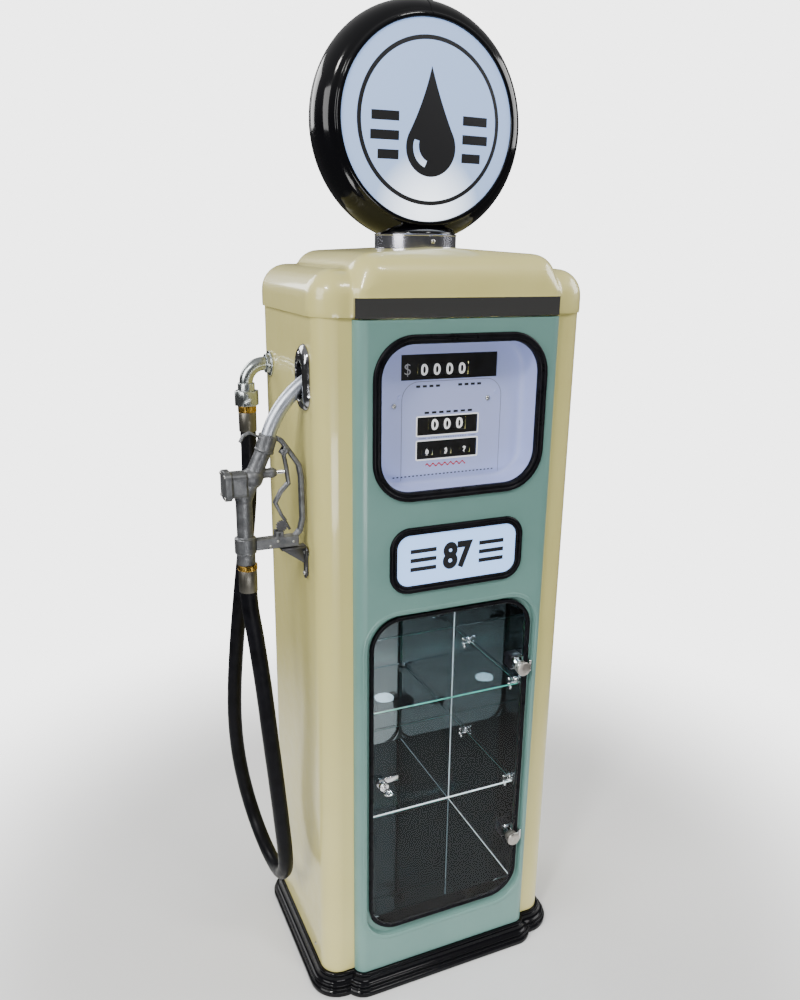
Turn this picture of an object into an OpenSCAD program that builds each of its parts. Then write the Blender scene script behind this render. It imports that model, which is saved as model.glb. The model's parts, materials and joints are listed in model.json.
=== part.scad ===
// Display cabinet built as an old computing petrol pump: pressed steel casing on a moulded
// base, arched cap with a lit globe, glazed dial with turning counter wheels, lit grade sign,
// mirror-lined cabinet with a hinged glass door, and a hose and nozzle on the left side.
// Millimetres, +Z up, front faces -Y, origin on the floor under the middle of the casing.

/* [Casing] */
// Width of the cream casing
body_w = 540; // [520:2:560]
// Depth of the cream casing, without the front panel
body_d = 362; // [350:2:380]
// Height of the top edge of the casing above the floor
body_top = 1432; // [1430:1:1440]
// Radius of the four upright corners of the casing
corner_r = 38; // [30:1:45]
// Thickness of the casing sheet
sheet_t = 2; // [1.5:0.5:3]

/* [Base] */
// Height of the moulded base
base_h = 45; // [40:1:50]
// How far the base flares out past the casing at the floor
base_flare = 25; // [20:1:30]

/* [Front panel] */
// Width of the front panel
panel_w = 414; // [400:2:420]
// How far the front panel stands in front of the casing
panel_proud = 22; // [18:1:26]
// Radius of the upright edges of the front panel
panel_r = 22; // [16:1:24]

/* [Dial] */
// Width of the dial opening inside its rubber frame
dial_w = 320; // [300:2:330]
// Depth from the front panel back to the dial face
dial_depth = 57; // [50:1:65]
// Radius of the counter wheels of the sale and the volume
big_wheel_r = 38; // [37:0.5:40]
// Distance between neighbouring counter wheels
wheel_pitch = 26; // [25:0.5:27]

/* [Door] */
// Width of the door opening in the front panel
door_w = 374; // [366:2:380]
// Thickness of the door glass
door_glass_t = 5; // [4:0.5:6]

/* [Globe] */
// Height of the centre of the globe above the floor
globe_z = 1764; // [1755:1:1775]
// Radius of the globe body
globe_r = 209.5; // [200:0.5:215]
// Radius of each lens
lens_r = 171.5; // [165:0.5:175]

/* [Hose] */
// Outside diameter of the hose
hose_d = 32; // [28:1:34]
// Outside diameter of the nozzle spout
spout_d = 27; // [24:0.5:28]

/* [Hidden] */
$fn = 64;
front_y = -(body_d / 2 + panel_proud);
rear_y = body_d / 2;
side_x = body_w / 2;
return_x = 195;
panel_top = body_top - 4;

// Front panel openings: bottom and top heights and corner radius
dial_z = [1109, 1394];
dial_open_r = 70;
sign_w = 266;
sign_z = [927, 1040];
sign_r = 31;
door_z = [124.5, 875];
door_r = 65;
door_wall = 14;

// Dial face and its windows: [left, right, bottom, top]
face_y = front_y + dial_depth;
sale_window = [-99, 101, 1314, 1361];
volume_window = [-65, 63, 1209, 1244];
price_window = [-65, 63, 1163, 1198];
spindle_r = 3;
wheel_gap = 0.6;
wheel_clear = 0.05;
price_wheel_r = 16;
big_digit = 24;
price_digit = 13;
sale_x0 = -51;
sale_axis_z = 1332;
volume_x0 = -27;
volume_axis_z = 1228;
price_x0 = -42;
price_pitch = 40;
price_wheel_w = 22;
price_axis_z = 1176;

// Cabinet behind the door
cabin_x = 176;
cabin_front = -178;
cabin_back = 134;
cabin_floor = 162;
cabin_ceiling = 888;
mirror_t = 4;
shelf_t = 6;
shelf_x = 172;
shelf_heights = [412, 655];
clip_rows = [-158, 56];

// Door: hinge pivot, hinge heights and lock height
pivot = [183, front_y + 2];
hinge_heights = [289, 710];
hinge_x = 161;
hinge_cap_r = 12;
door_x = 178;
door_span = [138, 868];
door_front = front_y + 5;
lock_pos = [-150, 503];

// Globe stands on the cap behind the middle of the casing
globe_y = 18;
globe_half = 49;
seat_z = 1542;
collar_r = 80;

// Nozzle lies in an upright plane across the left side
nozzle_y = -105;
boot_y = -110;
boot_z = 1323;
elbow_y = 118;
elbow_z = 1320;
elbow_bend = 37;
hose_start_x = -321;
lever_pivot = [-312.5, 1189.5];
rack_pivot = [-325, 1036];

// Centre line of the hose, from the swivel down round the loop and up to the nozzle
hose_route = [
    [-321, 118, 1185], [-321, 118, 1140], [-322, 122, 1070], [-327, 132, 985],
    [-336, 146, 890], [-345, 161, 790], [-354, 175, 680], [-360, 186, 580],
    [-362, 192, 490], [-359, 191, 410], [-352, 182, 340], [-343, 167, 281],
    [-334, 132, 233], [-327, 78, 205], [-323, 18, 202], [-323, -38, 225],
    [-326, -79, 270], [-331, -98, 328], [-338, -107, 400], [-347, -112, 500],
    [-357, -114, 610], [-367, -113, 730], [-377, -110, 830], [-384, -106, 890],
    [-386, -105, 930]
];

// ---------- shapes that repeat ----------

// Rounded rectangle centred on the origin
module round_rect(w, h, r) {
    square([w - 2 * r, h], center = true);
    square([w, h - 2 * r], center = true);
    for (x = [-1, 1], y = [-1, 1])
        translate([x * (w / 2 - r), y * (h / 2 - r)]) circle(r);
}

// Upright stadium: a rectangle with a half circle above and below
module stadium(w, h) {
    square([w, h - w], center = true);
    for (y = [-1, 1]) translate([0, y * (h - w) / 2]) circle(w / 2);
}

// Flat outline drawn in X and Z, made into a plate from y0 back by t
module plate_xz(y0, t) {
    translate([0, y0 + t, 0]) rotate([90, 0, 0]) linear_extrude(t) children();
}

// Flat outline drawn in Y and Z, made into a plate from x0 to the right by t
module plate_yz(x0, t) {
    translate([x0, 0, 0]) rotate([90, 0, 90]) linear_extrude(t) children();
}

// Upright rounded plate facing the front
module slab(w, z, r, y0, t) {
    plate_xz(y0, t) translate([0, (z[0] + z[1]) / 2]) round_rect(w, z[1] - z[0], r);
}

// Upright rounded frame facing the front, with a border of the given width
module frame(w, z, r, border, y0, t) {
    plate_xz(y0, t) translate([0, (z[0] + z[1]) / 2]) difference() {
        round_rect(w, z[1] - z[0], r);
        round_rect(w - 2 * border, z[1] - z[0] - 2 * border, r - border);
    }
}

// Block given by its lowest and highest corner
module block(low, high) {
    translate(low) cube(high - low);
}

// Rod between two points
module rod(a, b, r) {
    v = b - a;
    translate(a) rotate([0, acos(v[2] / norm(v)), atan2(v[1], v[0])]) cylinder(r = r, h = norm(v));
}

// Edge point of a flat bar, to the left of its line, where the way in is a and the way out is b
function unit(v) = v / norm(v);
function left_of(v) = [-v[1], v[0]];
function mitre(a, b, w) = let (m = unit(left_of(unit(a) + unit(b)))) m * w / 2 / (m * left_of(unit(a)));
function bar_edge(points, w) =
    let (n = len(points) - 1)
    [for (i = [0 : n])
        let (a = points[max(i, 1)] - points[max(i, 1) - 1], b = points[min(i, n - 1) + 1] - points[min(i, n - 1)])
        points[i] + mitre(a, b, w)];
function reversed(list) = [for (i = [len(list) - 1 : -1 : 0]) list[i]];

// Flat bar of even width that follows a line of points
module bar(points, w) {
    polygon(concat(bar_edge(points, w), reversed(bar_edge(points, -w))));
}

// Casing outline seen from above, grown by d
module casing_plan(d) {
    round_rect(body_w + 2 * d, body_d + 2 * d, corner_r + d);
}

// Front panel outline seen from above, grown by d, reaching back to the middle
module panel_plan(d) {
    reach = d - front_y;
    translate([0, -reach / 2]) round_rect(panel_w + 2 * d, reach, panel_r + d);
}

// ---------- base and casing ----------

// Lowest band first: [bottom, top, how far out]
base_bands = [
    [0, 14, base_flare], [14, 20, base_flare - 4], [20, 26, base_flare - 8],
    [26, 34, base_flare - 14], [34, 40, 8], [40, base_h, 5]
];

module base_plinth() {
    color([0.03, 0.03, 0.04]) difference() {
        for (b = base_bands) translate([0, 0, b[0]]) linear_extrude(b[1] - b[0]) {
            casing_plan(b[2]);
            panel_plan(b[2]);
        }
        translate([0, 0, 6]) linear_extrude(base_h) casing_plan(-16);
    }
}

// Screw positions on one side, as [y, z], and on the back, as [x, z]
side_screws = [[133, 57], [-107, 70]];
back_screws = [for (x = [-212, 212], z = [120, 740, 1380]) [x, z]];
screw_r = 2;
screw_head_r = 4;

module screw() {
    cylinder(r = screw_r, h = 4, $fn = 24);
    translate([0, 0, 4]) cylinder(r = screw_head_r, h = 1.2, $fn = 24);
    translate([0, 0, 5.2]) cylinder(r1 = screw_head_r, r2 = 2.2, h = 1.3, $fn = 24);
}

// Puts its children, drawn along +Z with the head seat at 4, at every screw
module at_screws() {
    for (s = [-1, 1], p = side_screws)
        translate([s * (side_x - 4), p[0], p[1]]) rotate([0, s * 90, 0]) children();
    for (p = back_screws)
        translate([p[0], rear_y - 4, p[1]]) rotate([-90, 0, 0]) children();
    translate([0, globe_y - collar_r + 4, seat_z + 16]) rotate([90, 0, 0]) children();
}

module screws() {
    color([0.6, 0.6, 0.58]) at_screws() screw();
}

module screw_holes() {
    at_screws() translate([0, 0, -2]) cylinder(r = screw_r, h = 8, $fn = 24);
}

// One side of the casing: a sheet that turns in at the front and at the back
module side_shell(s) {
    translate([0, 0, base_h]) linear_extrude(body_top - base_h) intersection() {
        difference() {
            casing_plan(0);
            casing_plan(-sheet_t);
        }
        translate([s * (return_x + 60), 0]) square([120, body_d], center = true);
    }
}

module left_side_panel() {
    color([0.84, 0.8, 0.66]) difference() {
        side_shell(-1);
        screw_holes();
        plate_yz(-side_x - 1, 4) translate([boot_y, boot_z]) stadium(50, 106);
        translate([-side_x - 1, elbow_y, elbow_z]) rotate([0, 90, 0]) cylinder(r = 13.5, h = 4);
    }
}

module right_side_panel() {
    color([0.84, 0.8, 0.66]) difference() {
        side_shell(1);
        screw_holes();
    }
}

inlet_pos = [150, 130];

module back_panel() {
    half = 232;
    color([0.84, 0.8, 0.66]) difference() {
        block([-half, rear_y - 2 * sheet_t, base_h], [half, rear_y - sheet_t, body_top - 4]);
        screw_holes();
        for (s = [-1, 1], z = [1200 : 22 : 1332])
            block([s * 70 - 45, rear_y - 10, z], [s * 70 + 45, rear_y, z + 6]);
        block([inlet_pos[0] - 24, rear_y - 10, inlet_pos[1] - 14], [inlet_pos[0] + 24, rear_y, inlet_pos[1] + 14]);
    }
}

module top_deck() {
    color([0.6, 0.6, 0.6]) translate([0, 0, body_top - 4]) linear_extrude(4) difference() {
        casing_plan(-sheet_t);
        translate([0, globe_y]) circle(30);
    }
}

module front_panel() {
    color([0.49, 0.62, 0.58]) {
        difference() {
            translate([0, 0, base_h]) linear_extrude(panel_top - base_h) intersection() {
                panel_plan(0);
                translate([0, front_y + panel_proud / 2]) square([panel_w, panel_proud], center = true);
            }
            translate([0, 0, base_h + sheet_t]) linear_extrude(panel_top - base_h - 2 * sheet_t)
                intersection() {
                    panel_plan(-sheet_t);
                    translate([0, front_y + 30]) square([panel_w, 60], center = true);
                }
            slab(dial_w + 16, dial_z, dial_open_r, front_y - 5, 15);
            slab(sign_w, sign_z, sign_r, front_y - 5, 15);
            slab(door_w, door_z, door_r, front_y - 5, 15);
        }
        difference() {
            frame(door_w + 4, door_z + [-2, 2], door_r + 2, 2, front_y + sheet_t, door_wall - sheet_t);
            hinge_notches();
        }
        difference() {
            frame(door_w, door_z, door_r, 12, front_y + door_wall - 2, 2);
            hinge_notches();
        }
    }
}

// Room in the door stop for the two hinges
module hinge_notches() {
    for (z = hinge_heights) block([180, front_y + 6, z - 13], [door_w / 2, front_y + 30, z + 13]);
}

strip_z = [body_top - 1, body_top + 32.6];
strip_t = 2.5;
cap_over = 6;

module trim_strip() {
    color([0.75, 0.75, 0.75]) translate([0, 0, strip_z[0]]) linear_extrude(strip_z[1] - strip_z[0])
        intersection() {
            difference() {
                panel_plan(1);
                panel_plan(1 - strip_t);
            }
            translate([0, front_y - 1 + 8.5]) square([panel_w + 10, 17], center = true);
        }
}

// Rounded block whose upper edges are quarter rounds of radius r
module soft_block(low, high, r) {
    hull() for (x = [low[0] + r, high[0] - r], y = [low[1] + r, high[1] - r]) {
        translate([x, y, low[2]]) cylinder(r = r, h = 1, $fn = 32);
        translate([x, y, high[2] - r]) sphere(r, $fn = 32);
    }
}

// Solid form of the cap, shrunk by d on every outer face
module cap_form(d) {
    shoulder_x = side_x + cap_over - d;
    shoulder_y = rear_y + cap_over - d;
    crown_x = panel_w / 2 - d;
    crown_front = front_y + strip_t - 1 + d;
    crown_rear = rear_y + cap_over - d;
    crown_side = 1505 - d;
    soft_block([-shoulder_x, -shoulder_y, body_top], [shoulder_x, shoulder_y, 1512 - d], 50 - d);
    hull() {
        translate([0, 0, body_top]) linear_extrude(40) panel_plan(-d - strip_t + 1);
        for (x = [-1, 1], y = [crown_front + 50, crown_rear - 50])
            translate([x * (crown_x - 48), y, crown_side - 13]) sphere(48 - d, $fn = 32);
        for (y = [crown_front + 78, crown_rear - 78])
            translate([0, y, 1548 - 75]) sphere(75 - d, $fn = 32);
    }
}

module cap() {
    color([0.84, 0.8, 0.66]) difference() {
        cap_form(0);
        difference() {
            cap_form(3);
            translate([0, globe_y, body_top]) cylinder(r = collar_r, h = 200);
        }
        translate([0, 0, body_top - 60]) linear_extrude(60) casing_plan(panel_proud);
        translate([0, 0, body_top - 1]) linear_extrude(8) panel_plan(-4);
        translate([0, globe_y, body_top - 1]) cylinder(r = collar_r - 12, h = seat_z - 3 - body_top);
        translate([0, globe_y, body_top]) cylinder(r = 20, h = 200);
        translate([0, globe_y, seat_z]) cylinder(r = collar_r, h = 50);
    }
}

// ---------- globe ----------

// Polished ring with a seat inside it that carries the globe
module globe_collar() {
    seat_h = globe_z - globe_r - seat_z - 0.5;
    color([0.75, 0.76, 0.8]) translate([0, globe_y, seat_z]) {
        difference() {
            cylinder(r = collar_r, h = 29);
            translate([0, 0, 3]) cylinder(r = collar_r - 3, h = 31);
            translate([0, 0, -1]) cylinder(r = 30, h = 31);
            translate([0, -globe_y, -seat_z]) screw_holes();
        }
        difference() {
            translate([0, 0, 3]) cylinder(r = 60, h = seat_h - 3);
            translate([0, 0, -1]) cylinder(r = 30, h = 31);
        }
    }
}

// Half section of the globe's rim: radius against distance from its middle plane
function globe_arc(rim, r, half, steps) =
    [for (i = [0 : steps]) let (a = -90 + 180 * i / steps)
        [rim + (r - rim) * cos(a), half * sin(a)]];

module about_globe() {
    translate([0, globe_y, globe_z]) rotate([90, 0, 0]) children();
}

// Hollow ring, open at the foot by a slot for the lamp post
module globe_body() {
    rim = lens_r - 4;
    skin = 4;
    slot = 11;
    outer = globe_arc(lens_r + 5, globe_r, globe_half, 10);
    inner = globe_arc(rim, globe_r - skin, globe_half - skin, 10);
    color([0.03, 0.03, 0.04]) about_globe() rotate([0, 0, 270 + slot / 2])
        rotate_extrude(angle = 360 - slot, $fn = 96)
            polygon(concat([[rim, -globe_half]], outer, [[rim, globe_half]], reversed(inner)));
}

// The two lens rims and the clamp on top of the globe
module globe_bezels() {
    color([0.03, 0.03, 0.04]) about_globe() for (s = [-1, 1]) translate([0, 0, s * (globe_half + 3)])
        difference() {
            cylinder(r = lens_r + 7, h = 6, center = true, $fn = 96);
            cylinder(r = lens_r - 3, h = 8, center = true, $fn = 96);
        }
    color([0.03, 0.03, 0.04]) block([2, globe_y - 7, globe_z + globe_r], [22, globe_y + 7, globe_z + globe_r + 4]);
}

// Domed lens: thin disc whose middle stands 12 mm out from its rim
lens_dome = 12;
lens_t = 3;
function lens_arc(shift) =
    [for (i = [0 : 10]) let (x = (lens_r - 3.2) * i / 10)
        [x, shift + lens_dome * (1 - pow(x / (lens_r - 3.2), 2))]];

module globe_lenses() {
    color([0.95, 0.97, 1]) about_globe() for (s = [0, 1]) mirror([0, 0, s]) translate([0, 0, globe_half])
        rotate_extrude($fn = 96) polygon(concat(lens_arc(lens_t), reversed(lens_arc(0))));
}

module globe_lamp() {
    color([0.95, 0.95, 0.9]) translate([0, globe_y, seat_z]) {
        cylinder(r = 26, h = 8);
        cylinder(r = 16, h = 90);
        translate([0, 0, 122]) sphere(36, $fn = 48);
    }
}

// ---------- dial and counter ----------

gasket_out = 9;
gasket_proud = 6;

// Rubber glazing frame with a lip in front of and behind the sheet, grooved for the glass
module glazing_frame(open_w, open_z, open_r, inner) {
    difference() {
        union() {
            slab(open_w + 2 * gasket_out, open_z + [-gasket_out, gasket_out], open_r + gasket_out,
                front_y - gasket_proud, gasket_proud);
            slab(open_w, open_z, open_r, front_y, sheet_t);
            slab(open_w + 12, open_z + [-6, 6], open_r + 6, front_y + sheet_t, 4);
        }
        slab(open_w - 2 * inner, open_z + [inner, -inner], open_r - inner, front_y - 20, 40);
        slab(open_w - 8, open_z + [4, -4], open_r - 4, front_y - 1.5, 4);
    }
}

module dial_gasket() {
    color([0.08, 0.08, 0.09]) glazing_frame(dial_w + 16, dial_z, dial_open_r, 8);
}

module dial_glass() {
    color([0.9, 0.95, 1, 0.3]) slab(dial_w + 8, dial_z + [4, -4], dial_open_r - 4, front_y - 1.5, 4);
}

module dial_housing() {
    deep = dial_depth - 6 + 12;
    color([0.78, 0.78, 0.82]) {
        frame(dial_w + 10, dial_z + [3, -3], dial_open_r - 3, 3, front_y + 6, deep);
        difference() {
            slab(dial_w + 4, dial_z + [6, -6], dial_open_r - 6, front_y + 6 + deep - 2, 2);
            block([-counter_half - 4, front_y, counter_z[0] - 4], [counter_half + 4, 0, counter_z[1] + 4]);
        }
    }
}

// Hole for a window through the dial face
module window_cut(w) {
    block([w[0], face_y - 1, w[2]], [w[1], face_y + 5, w[3]]);
}

dial_screw = [101, 1284];

module dial_face() {
    color([0.87, 0.88, 0.92]) difference() {
        slab(dial_w + 4, dial_z + [6, -6], dial_open_r - 6, face_y - 1, 2);
        for (w = [sale_window, volume_window, price_window]) window_cut(w);
    }
    color([0.55, 0.55, 0.55]) for (s = [-1, 1])
        translate([s * dial_screw[0], face_y - 1, dial_screw[1]]) rotate([90, 0, 0]) cylinder(r = 4, h = 1.5);
}

big_axis_y = face_y + big_wheel_r + 1.2;
price_axis_y = face_y + price_wheel_r + 1.8;
counter_half = 108;
counter_z = [1150, 1372];
cheek_d = 80;

// Slot in the counter's mask that shows one row of figures of the given height
module mask_slot(x0, x1, z, h) {
    block([x0 - 1, face_y, z - h / 2], [x1 + 1, face_y + 6, z + h / 2]);
}

// Black mask behind the face, two end cheeks and three fixed spindles
module counter_frame() {
    half_pitch = wheel_pitch / 2;
    color([0.07, 0.07, 0.08]) {
        difference() {
            block([-counter_half, face_y + 1, counter_z[0]], [counter_half, face_y + 3, counter_z[1]]);
            mask_slot(sale_x0 - half_pitch, sale_x0 + 3.5 * wheel_pitch, sale_axis_z, big_digit);
            mask_slot(volume_x0 - half_pitch, volume_x0 + 2.5 * wheel_pitch, volume_axis_z, big_digit);
            for (i = [0 : 2])
                mask_slot(price_x0 + i * price_pitch - 11, price_x0 + i * price_pitch + 11, price_axis_z,
                    price_digit);
        }
        for (s = [-1, 1]) block([s * counter_half - 3 * (s + 1) / 2, face_y + 3, counter_z[0]],
            [s * counter_half + 3 * (1 - s) / 2, face_y + cheek_d, counter_z[1]]);
    }
    color([0.6, 0.6, 0.62]) {
        spindle(big_axis_y, sale_axis_z);
        spindle(big_axis_y, volume_axis_z);
        spindle(price_axis_y, price_axis_z);
    }
}

module spindle(y, z) {
    translate([-counter_half + 2, y, z]) rotate([0, 90, 0]) cylinder(r = spindle_r, h = 2 * counter_half - 4);
}

// Counter wheel with a thick rim, a web and a hub
module counter_wheel(x, y, z, r, w) {
    color([0.05, 0.05, 0.06]) translate([x, y, z]) rotate([0, 90, 0]) difference() {
        cylinder(r = r, h = w, center = true);
        for (s = [-1, 1]) translate([0, 0, s * w / 2]) difference() {
            cylinder(r = r - 3, h = w - 6, center = true);
            cylinder(r = spindle_r + 4, h = w, center = true);
        }
        cylinder(r = spindle_r + wheel_clear, h = w + 2, center = true);
    }
}

module sale_wheel(i) {
    counter_wheel(sale_x0 + i * wheel_pitch, big_axis_y, sale_axis_z, big_wheel_r, wheel_pitch - wheel_gap);
}

module volume_wheel(i) {
    counter_wheel(volume_x0 + i * wheel_pitch, big_axis_y, volume_axis_z, big_wheel_r, wheel_pitch - wheel_gap);
}

module price_wheel(i) {
    counter_wheel(price_x0 + i * price_pitch, price_axis_y, price_axis_z, price_wheel_r, price_wheel_w);
}

// ---------- lit sign ----------

module ad_gasket() {
    color([0.08, 0.08, 0.09]) glazing_frame(sign_w, sign_z, sign_r, 6.5);
}

module ad_panel() {
    color([0.93, 0.96, 1]) slab(sign_w - 8, sign_z + [4, -4], sign_r - 4, front_y - 1.5, 4);
}

module ad_lamp() {
    color([0.9, 0.9, 0.9]) difference() {
        slab(sign_w + 4, sign_z + [-2, 2], sign_r + 2, front_y + 6, 30);
        slab(sign_w, sign_z, sign_r, front_y + 5, 29);
    }
    color([1, 1, 0.9]) for (z = [955, 983.5, 1012])
        block([-110, front_y + 31, z - 5], [110, front_y + 34, z + 5]);
}

// ---------- cabinet ----------

module back_mirror() {
    color([0.3, 0.35, 0.36])
        block([-cabin_x, cabin_back, cabin_floor - mirror_t], [cabin_x, cabin_back + mirror_t, cabin_ceiling]);
}

module side_mirrors() {
    color([0.3, 0.35, 0.36]) for (s = [-1, 1])
        translate([s * (cabin_x + mirror_t / 2), (cabin_front + cabin_back + mirror_t) / 2,
            (cabin_floor - mirror_t + cabin_ceiling) / 2])
            cube([mirror_t, cabin_back + mirror_t - cabin_front, cabin_ceiling - cabin_floor + mirror_t],
                center = true);
}

module floor_mirror() {
    color([0.3, 0.35, 0.36]) block([-cabin_x, cabin_front, cabin_floor - mirror_t], [cabin_x, cabin_back, cabin_floor]);
}

module cabinet_ceiling() {
    color([0.15, 0.16, 0.17]) block([-cabin_x - mirror_t, cabin_front, cabin_ceiling],
        [cabin_x + mirror_t, cabin_back + mirror_t, cabin_ceiling + 4]);
}

module puck_light() {
    color([0.95, 0.97, 1]) translate([30, 40, cabin_ceiling - 12]) {
        cylinder(r = 30, h = 12);
        translate([0, 0, -3]) cylinder(r = 24, h = 3);
    }
}

module shelf(z) {
    block([-shelf_x, -172, z - shelf_t / 2], [shelf_x, cabin_back - 4, z + shelf_t / 2]);
}

module glass_shelves() {
    color([0.6, 0.85, 0.8, 0.4]) for (z = shelf_heights) shelf(z);
}

// Two-jaw clip on each side of each shelf, at both rows
module shelf_clips() {
    color([0.8, 0.8, 0.82]) difference() {
        for (s = [-1, 1], z = shelf_heights, y = clip_rows) translate([s * cabin_x, y, z]) {
            rotate([0, -s * 90, 0]) cylinder(r = 9, h = 5);
            rotate([0, -s * 90, 0]) cylinder(r = 7.5, h = 18);
        }
        for (z = shelf_heights) shelf(z);
    }
}

// ---------- door ----------

knuckle_r = 3;
pin_r = 1.5;
pin_clear = 0.05;
knuckle_half = 5;
knuckle_end = 12;

// Fixed half of each hinge: two end knuckles, an arm back into the cabinet and its block
module door_hinges() {
    color([0.75, 0.75, 0.76]) for (z = hinge_heights) {
        difference() {
            union() {
                for (s = [-1, 1]) translate([pivot[0], pivot[1], z + s * (knuckle_half + knuckle_end + 0.3) / 2])
                    cylinder(r = knuckle_r, h = knuckle_end - knuckle_half - 0.3, center = true, $fn = 32);
                for (s = [-1, 1])
                    translate([pivot[0], pivot[1], z + s * (knuckle_half + knuckle_end + 0.3) / 2])
                        translate([1, 4, 0]) cube([4, 6, knuckle_end - knuckle_half - 0.3], center = true);
                block([182, pivot[1] + 3.5, z - knuckle_end], [door_w / 2, cabin_front - 2, z + knuckle_end]);
                block([156, cabin_front - 2.5, z - knuckle_end], [door_w / 2, cabin_front, z + knuckle_end]);
            }
            translate([pivot[0], pivot[1], z]) cylinder(r = pin_r + pin_clear, h = 40, center = true, $fn = 32);
        }
        color([0.06, 0.06, 0.07]) block([150, cabin_front, z - 14], [cabin_x, cabin_front + 28, z + 14]);
    }
}

module door_glass() {
    color([0.75, 0.88, 0.86, 0.3]) difference() {
        slab(2 * door_x - 3, door_span + [1.5, -1.5], door_r - 1.5, door_front, door_glass_t);
        for (z = hinge_heights) along_y(hinge_x, z) cylinder(r = 8, h = 40, center = true);
        along_y(lock_pos[0], lock_pos[1]) cylinder(r = 8, h = 40, center = true);
    }
}

// Axis along Y through a point of the door
module along_y(x, z) {
    translate([x, door_front, z]) rotate([90, 0, 0]) children();
}

module door_edge() {
    color([0.05, 0.05, 0.06]) difference() {
        frame(2 * door_x, door_span, door_r, 7.5, door_front - 1.5, door_glass_t + 3);
        slab(2 * door_x - 3, door_span + [1.5, -1.5], door_r - 1.5, door_front, door_glass_t);
        for (z = hinge_heights) {
            along_y(hinge_x, z) cylinder(r = hinge_cap_r + 0.5, h = 40, center = true);
            block([hinge_x, door_front - 4, z - knuckle_half - 0.5], [door_x + 1, door_front, z + knuckle_half + 0.5]);
        }
    }
}

// Moving half of each hinge: front cap, stem through the glass, rear cup, strap, knuckle and pin
module hinge_caps() {
    color([0.8, 0.8, 0.82]) for (z = hinge_heights) {
        along_y(hinge_x, z) cylinder(r = hinge_cap_r, h = 8);
        along_y(hinge_x, z) translate([0, 0, -door_glass_t]) cylinder(r = 8, h = door_glass_t);
        along_y(hinge_x, z) translate([0, 0, -door_glass_t - 10]) cylinder(r = 11, h = 10);
        block([hinge_x + 5, door_front - 3.5, z - knuckle_half], [pivot[0], door_front - 1.5, z + knuckle_half]);
        translate([pivot[0], pivot[1], z]) cylinder(r = knuckle_r, h = 2 * knuckle_half, center = true, $fn = 32);
        translate([pivot[0], pivot[1], z]) cylinder(r = pin_r, h = 2 * knuckle_end, center = true, $fn = 32);
    }
}

lock_shaft_r = 3;

module lock_barrel() {
    color([0.8, 0.8, 0.82]) along_y(lock_pos[0], lock_pos[1]) difference() {
        union() {
            cylinder(r = 9.5, h = 8);
            translate([0, 0, -11]) cylinder(r = 8, h = 11.5);
            translate([0, 0, -9]) cylinder(r = 12, h = 4, $fn = 6);
        }
        translate([0, 0, -20]) cylinder(r = lock_shaft_r + 0.05, h = 40);
    }
}

// Shaft, locking cam behind the glass, and the key left in the lock
module lock_cam() {
    color([0.8, 0.8, 0.82]) along_y(lock_pos[0], lock_pos[1]) {
        translate([0, 0, -14.5]) cylinder(r = lock_shaft_r, h = 23.5);
        translate([0, 0, 8.5]) cylinder(r = 5, h = 2);
        translate([0, 0, -14.5]) linear_extrude(2.5) bar([[0, 0], [39, 0]], 12);
        translate([0, 0, 10.5]) rotate([90, 0, 0]) linear_extrude(2, center = true) {
            translate([-3, 0]) square([6, 12]);
            difference() {
                translate([0, 18]) circle(10);
                translate([0, 22]) circle(3);
            }
        }
    }
}

// ---------- nozzle and its holders ----------

module nozzle_boot() {
    color([0.7, 0.7, 0.72]) {
        difference() {
            plate_yz(-side_x - 12, 12) translate([boot_y, boot_z]) stadium(62, 118);
            plate_yz(-side_x - 20, 40) translate([boot_y, boot_z]) stadium(46, 102);
        }
        difference() {
            plate_yz(-side_x, 55) translate([boot_y, boot_z]) stadium(50, 106);
            plate_yz(-side_x - 1, 54) translate([boot_y, boot_z]) stadium(46, 102);
        }
    }
}

// Plate, shelf and gusset under the lower arm of the nozzle guard
module hook_bracket() {
    shelf_z = 1007;
    color([0.35, 0.35, 0.36]) {
        plate_yz(-side_x - 4, 4) translate([nozzle_y, 0]) {
            bar([[0, 945], [0, 990]], 11);
            bar([[0, 988], [0, 997]], 22);
        }
        block([-323, nozzle_y - 11, shelf_z - 4], [-side_x - 4, nozzle_y + 11, shelf_z]);
        plate_xz(nozzle_y - 2, 4) polygon([[-322, shelf_z - 4], [-side_x - 4, shelf_z - 4], [-side_x - 4, 968]]);
    }
}

// The spout is one bend: its foot as [x, z], and its angles above the horizontal at foot and tip
spout_foot = [-339, 1221];
spout_lean = 72;
spout_end = 26;
spout_bend = 181;
spout_wall = 2;
along = [cos(spout_lean), sin(spout_lean)];
bend_centre = spout_foot + spout_bend * [sin(spout_lean), -cos(spout_lean)];

// Point of the nozzle plane as a point in space
function at_nozzle(p) = [p[0], nozzle_y, p[1]];

// Bent rod along the spout, longer by an angle at both ends
module spout_form(r, extra) {
    translate(at_nozzle(bend_centre)) rotate([90, 0, 0]) rotate([0, 0, 90 + spout_end - extra])
        rotate_extrude(angle = spout_lean - spout_end + 2 * extra, $fn = 96)
            translate([spout_bend, 0]) circle(r);
}

module nozzle_spout() {
    color([0.72, 0.74, 0.77]) difference() {
        spout_form(spout_d / 2, 0);
        spout_form(spout_d / 2 - spout_wall, 1);
    }
}

handle_x = -388;
valve = [-371, 1146];
stem_axis_z = 1153;
stem_r = 3.5;
barrel_r = 16.5;

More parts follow.
